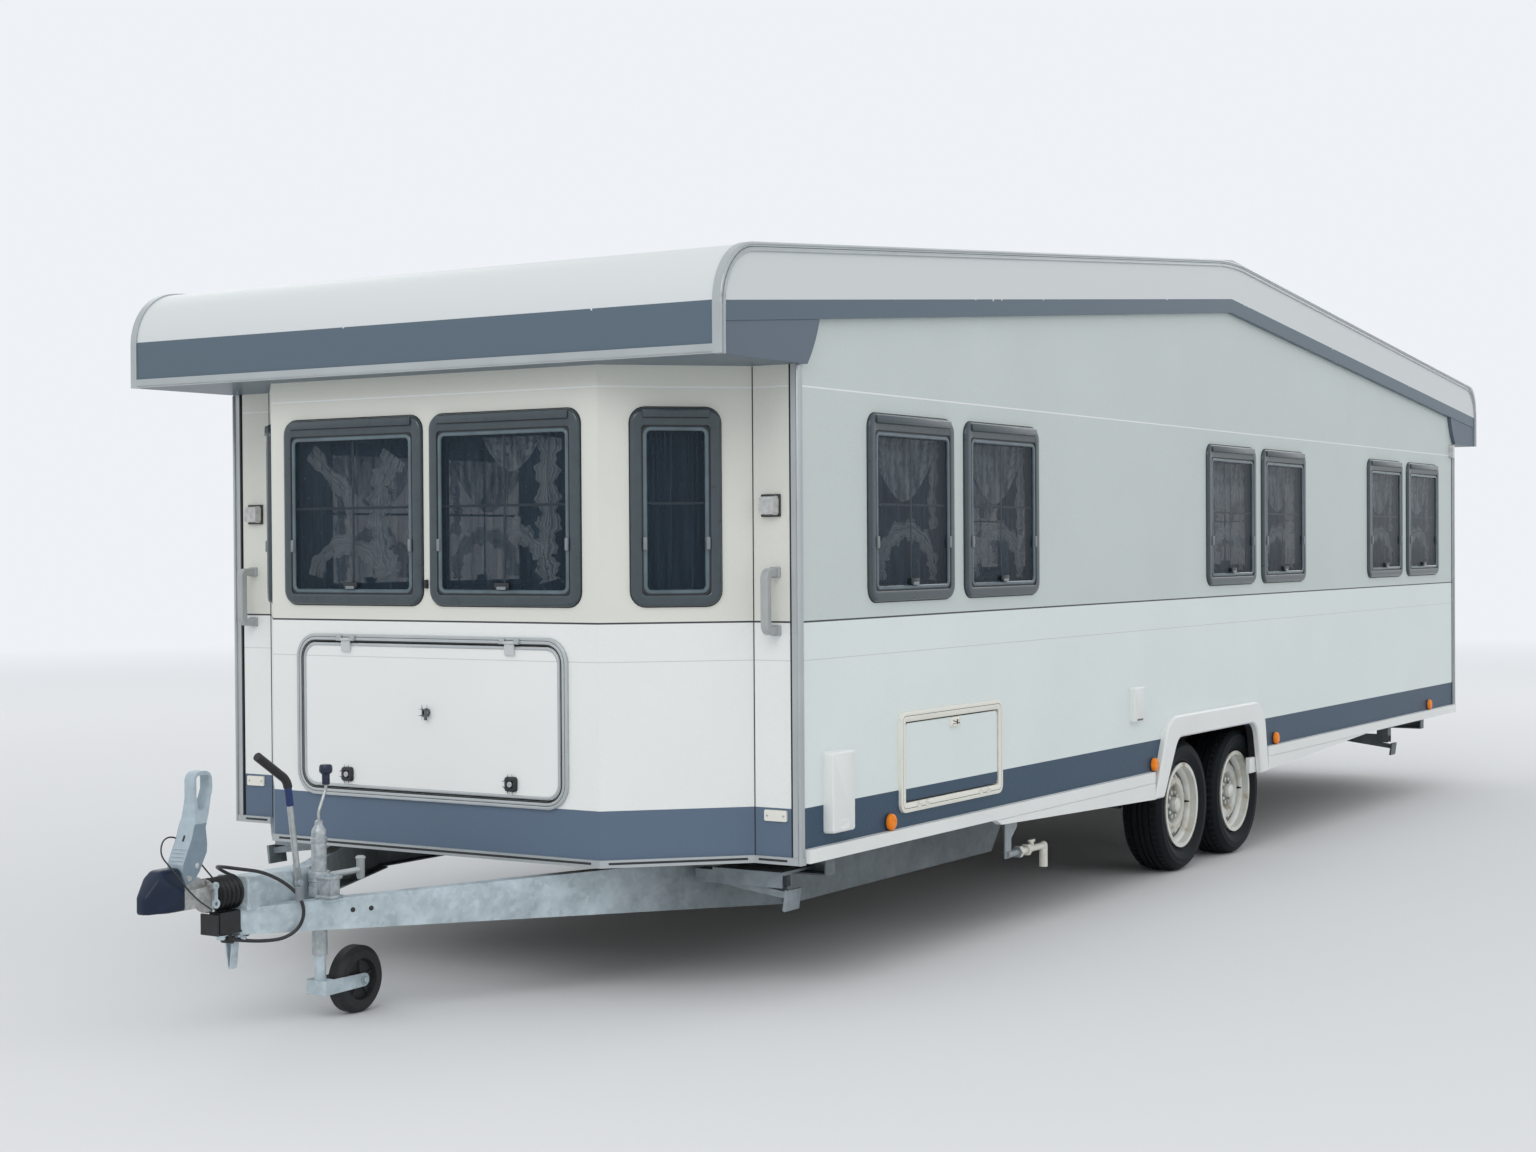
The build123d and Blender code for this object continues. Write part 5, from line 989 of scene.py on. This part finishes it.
light_steps = ((0.001, 0.014), (0.003, 0.003), (0.016, 0), (0.003, -0.004), (0.001, -0.008))
dome_steps = ((0.001, 0.012), (0.003, 0.009), (0.007, 0.008), (0.011, 0.006), (0.015, 0.003))
for x, y, size in ((1.500, 0, 0.400), (-2.500, 0.250, 0.500)):
    light_frame = moulding("rooflight_frame", (size, size), 0.050, light_steps, white_gloss, True)
    set_down(light_frame, [on_roof(x, y)], replaced=("roof_fittings",))
    inner = size - 0.044
    dome = moulding("rooflight_dome", (inner, inner), 0.042, dome_steps, opal, at=(0, 0, 0.004))
    set_down(dome, [on_roof(x, y)], replaced=("roof_fittings",))
flue = turned("heater_flue", (
    (0.055, 0.0), (0.054, 0.006), (0.050, 0.028), (0.040, 0.031), (0.038, 0.034), (0.038, 0.074),
    (0.046, 0.078), (0.062, 0.079), (0.062, 0.085), (0.052, 0.100), (0.030, 0.107), (0.0, 0.108),
), white_gloss, sides=32)
set_down(flue, [on_roof(-3.300, 0.700)], replaced=("roof_fittings",))

# Floor: plain coated plywood, seen only from below and through the open door and
# the service hatch.
dress(mottled("floor_ply", (0.10, 0.085, 0.065), 0.62, grain=14, spread=0.2, bump=0.1), "floor")

# Tow gear: a worn grey casting, black ribbed bellows, a navy cap and a pale blue
# handle, its cheeks darker blue with dirt and painted shade, with moulded ribs at its
# foot, a slot for its key and two rivets.
casting = mottled("coupling_paint", (0.40, 0.41, 0.40), 0.5, metal=0.3, grain=60, spread=0.25, bump=0.3)
dress(casting, "coupling_head")
dress(mottled("bellows_rubber", (0.010, 0.011, 0.013), 0.5, grain=60, spread=0.3, bump=0.15), "bellows")
cap_navy = mottled("navy_cap", (0.007, 0.016, 0.040), 0.36, grain=20, spread=0.2, bump=0.06, shine=0.3)
cap_back, cap_tip, cap_foot, cap_top, cap_side = 4.712, 4.847, 0.411, 0.538, 0.048
nose_cuts = [((4.788, 0, cap_top), (0.074, 0, 0.060))]
nose_cuts += [((4.768, side * cap_side, 0.45), (0.028, side * 0.079, 0)) for side in (1, -1)]
nose_cuts += [((4.75, side * cap_side, 0.486), (0, side * 0.052, 0.024)) for side in (1, -1)]
bpy.ops.mesh.primitive_cube_add(size=1)
bpy.ops.object.mode_set(mode="EDIT")
bpy.ops.transform.resize(value=(cap_tip - cap_back, 2 * cap_side, cap_top - cap_foot))
bpy.ops.transform.translate(value=((cap_tip + cap_back) / 2, 0, (cap_top + cap_foot) / 2))
for spot, slant in nose_cuts:
    bpy.ops.mesh.select_all(action="SELECT")
    bpy.ops.mesh.bisect(plane_co=spot, plane_no=slant, use_fill=True, clear_outer=True)
bpy.ops.mesh.select_all(action="SELECT")
bpy.ops.mesh.bevel(offset=0.011, segments=4, affect="EDGES")
bpy.ops.mesh.select_all(action="DESELECT")
bpy.ops.object.mode_set(mode="OBJECT")
nose = bpy.context.object
for face in nose.data.polygons:
    face.select = face.center.z < cap_foot + 0.004 or face.center.x < cap_back + 0.004
bpy.context.tool_settings.mesh_select_mode = (False, False, True)
bpy.ops.object.mode_set(mode="EDIT")
bpy.ops.mesh.delete(type="FACE")
bpy.context.tool_settings.mesh_select_mode = (True, False, False)
nose = finish_piece("coupling_nose", cap_navy, angle=50)
thick = nose.modifiers.new("thick", "SOLIDIFY")
thick.thickness = 0.003
bpy.ops.object.modifier_apply(modifier="thick")
set_down(nose, [Matrix.Identity(4)], replaced=("nose_cap",))
blue_face, blue_side_shade_and_dirt, handle_half = (0.39, 0.475, 0.53), (0.20, 0.27, 0.33), 0.0318
handle_blue = mottled("pale_blue_handle", blue_face, 0.42, grain=30, spread=0.08, bump=0.05)
# The handle's cheeks, beyond Y ±0.0318, take a darker blue: partly dirt, partly painted shade on the sides.
handle_bands = (
    (-0.10, blue_side_shade_and_dirt, 0.42, 0), (-handle_half, blue_face, 0.42, 0), (handle_half, blue_side_shade_and_dirt, 0.42, 0),
)
dress(banded("handle_side_shade_and_dirt", "Y", handle_bands), "coupling_handle")
black_plastic = mottled("black_plastic", (0.012, 0.013, 0.015), 0.45, grain=50, spread=0.3, bump=0.1)
dress(black_plastic, "plug_holder", "lead_plug")
face_low, face_high = Vector((4.709, 0, 0.546)), Vector((4.674, 0, 0.620))
face_up = (face_high - face_low).normalized()
face_out = Vector((face_up.z, 0, -face_up.x))
face_axes = Matrix((Vector((0, 1, 0)), face_up, face_out)).transposed()
handle_face = Matrix.Translation(face_low) @ face_axes.to_4x4()
set_down(block("handle_rib", (0.054, 0.005, 0.003), 0.001, handle_blue, at=(0, 0, -0.0008)),
         [handle_face @ Matrix.Translation((0, v, 0)) for v in (0.012, 0.024, 0.036, 0.048)],
         body="coupling_handle")
set_down(block("handle_key", (0.008, 0.024, 0.0015), 0.0006, latch_black, at=(0, 0.084, -0.0003)),
         [handle_face], body="coupling_handle")
rivet_line = ((0.009, 0.0), (0.009, 0.002), (0.006, 0.004), (0.0, 0.0045))
rivet = turned("handle_rivet", rivet_line, rim_metal, sides=14)
rivet_y, rivet_spots = 0.033, ((4.654, 0.538), (4.689, 0.504))
set_down(rivet, [facing(x, side * rivet_y, z, side * 90) for side in (1, -1) for x, z in rivet_spots],
         body="coupling_handle")

# Waste drain: a tap and elbow in cream plastic, on a galvanised bracket plate that
# begins ahead of them.
plate_starts_x = 1.495
drain_bands = ((1.20, (0.74, 0.73, 0.65), 0.38, 0), (plate_starts_x, (0.34, 0.38, 0.40), 0.5, 0.4))
dress(banded("drain_finish", "X", drain_bands), "drain_valve")

# Handbrake lever, crank and clamp: bare rod with a black grip over a blue sleeve on
# the lever, a navy knob on the crank and a pale knob on the clamp's screw.
clamp_zinc = mottled("clamp_zinc", (0.42, 0.46, 0.48), 0.42, metal=0.4, grain=50, spread=0.25, bump=0.15)
rod_steel = mottled("rod_steel", (0.44, 0.46, 0.47), 0.32, metal=0.6, grain=60, spread=0.15, bump=0.08)
navy_grip = mottled("navy_grip", (0.006, 0.024, 0.115), 0.4, grain=60, spread=0.2, bump=0.08)
here = [Matrix.Identity(4)]
dress(rod_steel, "handbrake_lever")
lever_side = 0.068
sleeve_line = [(4.2980, lever_side, 0.683), (4.3068, lever_side, 0.742)]
sleeve = bent_rod("lever_sleeve", sleeve_line, (), 0.0245, navy_grip)
set_down(sleeve, here, body="handbrake_lever")
grip_line = [(4.3065, lever_side, 0.740), (4.3100, lever_side, 0.763), (4.4375, lever_side, 0.847)]
grip = bent_rod("lever_grip", grip_line, ((1, 0.020),), 0.0285, black_plastic)
set_down(grip, here, body="handbrake_lever")
jockey_y, tube_x, crank_x = 0.095, 4.200, 4.166
tube_axis = Matrix.Translation((tube_x, jockey_y, 0))
crank_axis = Matrix.Translation((crank_x, jockey_y, 0))
slide_tube = turned("slide_tube", (
    (0.0193, 0.209), (0.0235, 0.208), (0.0240, 0.211), (0.0240, 0.560), (0.0262, 0.562), (0.0262, 0.574),
    (0.0230, 0.577), (0.0230, 0.596), (0.0215, 0.600), (0.0140, 0.612), (0.0125, 0.616), (0.0125, 0.626),
    (0.0070, 0.631), (0.0, 0.632),
), clamp_zinc, sides=32)
set_down(slide_tube, [tube_axis], body="jockey_tube", replaced=("jockey_tube",))
crank_line = [
    (tube_x, jockey_y, 0.620), (tube_x, jockey_y, 0.655),
    (crank_x, jockey_y, 0.725), (crank_x, jockey_y, 0.748),
]
crank = bent_rod("crank_rod", crank_line, ((1, 0.009), (-2, 0.009)), 0.010, rod_steel)
set_down(crank, here, body="jockey_tube")
knob_navy = mottled("knob_navy", (0.007, 0.014, 0.042), 0.36, grain=60, spread=0.2, bump=0.08)
knob = turned("crank_knob", (
    (0.0, 0.738), (0.0105, 0.738), (0.0125, 0.742), (0.0125, 0.770), (0.0165, 0.774), (0.0205, 0.778),
    (0.0212, 0.786), (0.0205, 0.796), (0.0170, 0.801), (0.0, 0.802),
), knob_navy, sides=28)
set_down(knob, [crank_axis], body="jockey_tube")
shell_line = (
    (0.0245, 0.393), (0.033, 0.393), (0.034, 0.396), (0.034, 0.422), (0.031, 0.424), (0.031, 0.438),
    (0.034, 0.440), (0.034, 0.467), (0.033, 0.470), (0.0245, 0.470),
)
set_down(turned("clamp_shell", shell_line, clamp_zinc, sides=32), [tube_axis], replaced=("jockey_clamp",))
for name, size, at in (
    ("clamp_foot", (0.060, 0.066, 0.010), (4.220, 0.155, 0.3932)),
    ("clamp_web", (0.040, 0.060, 0.056), (4.217, 0.150, 0.400)),
    ("clamp_head", (0.056, 0.064, 0.009), (4.218, 0.153, 0.452)),
):
    set_down(block(name, size, 0.003, clamp_zinc, at=at), here)
pitch, threads = 0.0055, 28
thread = [(0.0, 0.0), (0.0080, 0.0)]
for ring in range(threads):
    thread += [(0.0095, 0.0020 + pitch * ring), (0.0082, 0.0047 + pitch * ring)]
thread.append((0.0, 0.0047 + pitch * (threads - 1)))
clamp_rod = turned("clamp_rod", thread, rim_metal, sides=16)
set_down(clamp_rod, [Matrix.Translation((4.168, jockey_y, 0.452)) @ Matrix.Rotation(radians(-90), 4, "Y")])
clamp_knob = turned("clamp_knob", (
    (0.0, -0.036), (0.010, -0.034), (0.0135, -0.026), (0.0135, 0.026), (0.017, 0.034), (0.012, 0.040),
    (0.0, 0.041),
), handle_grey)
set_down(clamp_knob, [Matrix.Translation((4.010, jockey_y, 0.456))])
cable_block = block("cable_block", (0.026, 0.044, 0.018), 0.005, catch_grey)
set_down(cable_block, [facing(4.330, 0.125, 0.418, 90)])

# Bolts: hexagon heads with a washer on the tow plate and the beam, and two open
# bolt holes through the near beam behind the housing, drawn as flat black discs of
# painted shade.
def hex_bolt(name, across, tall):
    """A hexagon head on a washer, both bevelled."""
    reach, lift = across * 0.85, 0.002
    head = turned(name, ((reach, 0.0), (reach, lift), (across * 0.5, lift + 0.0002)), zinc, sides=16)
    bpy.ops.mesh.primitive_cylinder_add(
        vertices=6, radius=across * 0.577, depth=tall, location=(0, 0, tall / 2 + lift),
    )
    bpy.ops.object.mode_set(mode="EDIT")
    bpy.ops.mesh.bevel(offset=0.001, segments=1, affect="EDGES")
    hexagon = finish_piece(name + "_head", zinc, angle=20)
    select_only(head)
    hexagon.select_set(True)
    bpy.ops.object.join()
    return head


head_bolt = hex_bolt("clamp_bolt", 0.016, 0.007)
set_down(head_bolt, [Matrix.Translation((4.218 + along_x, 0.162, 0.4605)) for along_x in (-0.014, 0.014)])
upside_down = Matrix.Rotation(pi, 4, "X")
plate_bolt = hex_bolt("plate_bolt", 0.024, 0.012)
plate_spots = ((4.557, 0.030, 0.316), (4.469, 0.030, 0.302))
set_down(plate_bolt, [Matrix.Translation(spot) @ upside_down for spot in plate_spots])
beam_nose, beam_tail = Vector((4.482, 0.033, 0.352)), Vector((2.739, 0.956, 0.352))
beam_run = (beam_tail - beam_nose).normalized()
beam_out = Vector((beam_run.y, -beam_run.x, 0))
beam_side = Matrix((-beam_run, Vector((0, 0, 1)), beam_out)).transposed().to_4x4()
# Each hole is a flat black disc: painted shade where the hole goes through the beam.
hole = turned("beam_hole", ((0.008, 0.0), (0.008, 0.0008), (0.0, 0.0008)), latch_black, sides=16)
set_down(hole, [Matrix.Translation(beam_nose + beam_run * run) @ beam_side for run in (0.36, 0.42)])

# Jockey wheel: black solid tyre on a plastic hub with thin spokes, on a bolt
# through both arms of its fork.
dress(mottled("jockey_rubber", (0.012, 0.013, 0.014), 0.6, grain=60, spread=0.3, bump=0.2), "jockey_wheel")
hub_centre = Matrix.Translation((4.040, jockey_y, 0.107))
hub_half, fork_half = 0.0185, 0.0415
spoke = block("hub_spoke", (0.006, 0.050, 0.003), 0.0015, black_plastic, at=(0, 0.048, 0))
set_down(spoke, [
    hub_centre @ facing(0, side * hub_half, 0, side * 90) @ Matrix.Rotation(radians(72 * k), 4, "Z")
    for side in (1, -1) for k in range(5)
], body="jockey_wheel")
fork_bolt = hex_bolt("fork_bolt", 0.020, 0.008)
set_down(fork_bolt, [hub_centre @ facing(0, side * fork_half, 0, side * 90) for side in (1, -1)],
         body="jockey_leg")

# Road wheels: silver pressed-steel rims, dulled and rusty round the hub and darker
# towards the dish with painted shade, with a grease cap and a valve, in black radial
# tyres with a ribbed and sliced tread.
wheel_out, wheel_up = 1.110, 0.297
rubber = mottled("tyre_rubber", (0.007, 0.010, 0.012), 0.66, grain=70, spread=0.3, bump=0.2, shine=0.2)
outer_half = (
    (0.186, 0.060), (0.191, 0.0690), (0.197, 0.0745), (0.201, 0.0790), (0.206, 0.0795), (0.209, 0.0780),
    (0.224, 0.0870), (0.238, 0.0930), (0.242, 0.0946), (0.248, 0.0946), (0.251, 0.0932), (0.262, 0.0930),
    (0.266, 0.0938), (0.269, 0.0930), (0.272, 0.0895), (0.283, 0.0800), (0.2900, 0.0700),
    (0.2945, 0.0600), (0.2955, 0.0460), (0.2885, 0.0450), (0.2885, 0.0390), (0.2962, 0.0380),
    (0.2967, 0.0160), (0.2890, 0.0150), (0.2890, 0.0090), (0.2968, 0.0080),
)
inner_half = tuple((radius, -out) for radius, out in reversed(outer_half))
tyre_sides = 112
tyre = turned("road_tyre", outer_half + inner_half, rubber, sides=tyre_sides)
for face in tyre.data.polygons:
    reach = hypot(face.center.x, face.center.y)
    step = round(atan2(face.center.y, face.center.x) * tyre_sides / (2 * pi) - 0.5)
    face.select = reach > 0.289 and 0.046 < abs(face.center.z) < 0.066 and step % 2 == 0
select_only(tyre)
bpy.context.tool_settings.mesh_select_mode = (False, False, True)
bpy.ops.object.mode_set(mode="EDIT")
bpy.ops.mesh.inset(thickness=0.0025, depth=-0.005, use_individual=True)
bpy.ops.object.mode_set(mode="OBJECT")
bpy.context.tool_settings.mesh_select_mode = (True, False, False)

rim_silver, tree, shader = new_material("rim_silver")
place = object_place(tree)
stain = add_node(tree, "TexNoise", {"Vector": place, "Scale": 11.0, "Detail": 9.0}).outputs["Fac"]
rim_tones = ((0.45, (0.76, 0.77, 0.73)), (0.60, (0.66, 0.64, 0.56)), (0.74, (0.27, 0.155, 0.08)))
# Painted shade: the rim darkens to 0.28 of its colour from the lip in to the dish.
dish_y, lip_y = 1.132, 1.158
outward = add_math(tree, "ABSOLUTE", split(tree, place)["Y"])
feed(tree, shader, {
    "Base Color": add_shade(
        tree, add_ramp(tree, stain, rim_tones), add_range(tree, outward, 0.28, 1.0, dish_y, lip_y),
    ),
    "Roughness": add_range(tree, stain, 0.38, 0.80, 0.4, 0.7),
    "Metallic": 0.25,
})
hub_cap = turned("hub_cap", (
    (0.0325, 0.026), (0.0325, 0.054), (0.0315, 0.060), (0.026, 0.0635), (0.012, 0.0650), (0.0, 0.0652),
), rim_silver, sides=28)
bolt_line = ((0.0085, 0.040), (0.0078, 0.0425), (0.005, 0.0445), (0.0, 0.0450))
bolt_cap = turned("bolt_cap", bolt_line, rim_silver, sides=12)
valve_line = ((0.0050, 0.034), (0.0050, 0.044), (0.0035, 0.046), (0.0035, 0.056), (0.0, 0.057))
valve = turned("tyre_valve", valve_line, rubber, sides=10)
valve_reach, bolt_reach = 0.146, 0.056
front_axle_x, rear_axle_x = -0.220, -0.890
for corner, x, side in (
    ("front_left", front_axle_x, 1), ("front_right", front_axle_x, -1),
    ("rear_left", rear_axle_x, 1), ("rear_right", rear_axle_x, -1),
):
    wheel = facing(x, side * wheel_out, wheel_up, side * 90)
    dress(rim_silver, corner + "_rim")
    dress(rubber, corner + "_tyre")
    set_down(copy_of(tyre), [wheel], body=corner + "_wheel", replaced=(corner + "_tyre",))
    set_down(copy_of(hub_cap), [wheel], body=corner + "_wheel")
    set_down(copy_of(valve), [wheel @ Matrix.Translation((valve_reach, 0, 0))], body=corner + "_wheel")
    set_down(copy_of(bolt_cap), [
        wheel @ Matrix.Rotation(radians(72 * k), 4, "Z") @ Matrix.Translation((bolt_reach, 0, 0))
        for k in range(5)
    ], body=corner + "_wheel")
for pattern in (tyre, hub_cap, bolt_cap, valve):
    bpy.data.objects.remove(pattern)
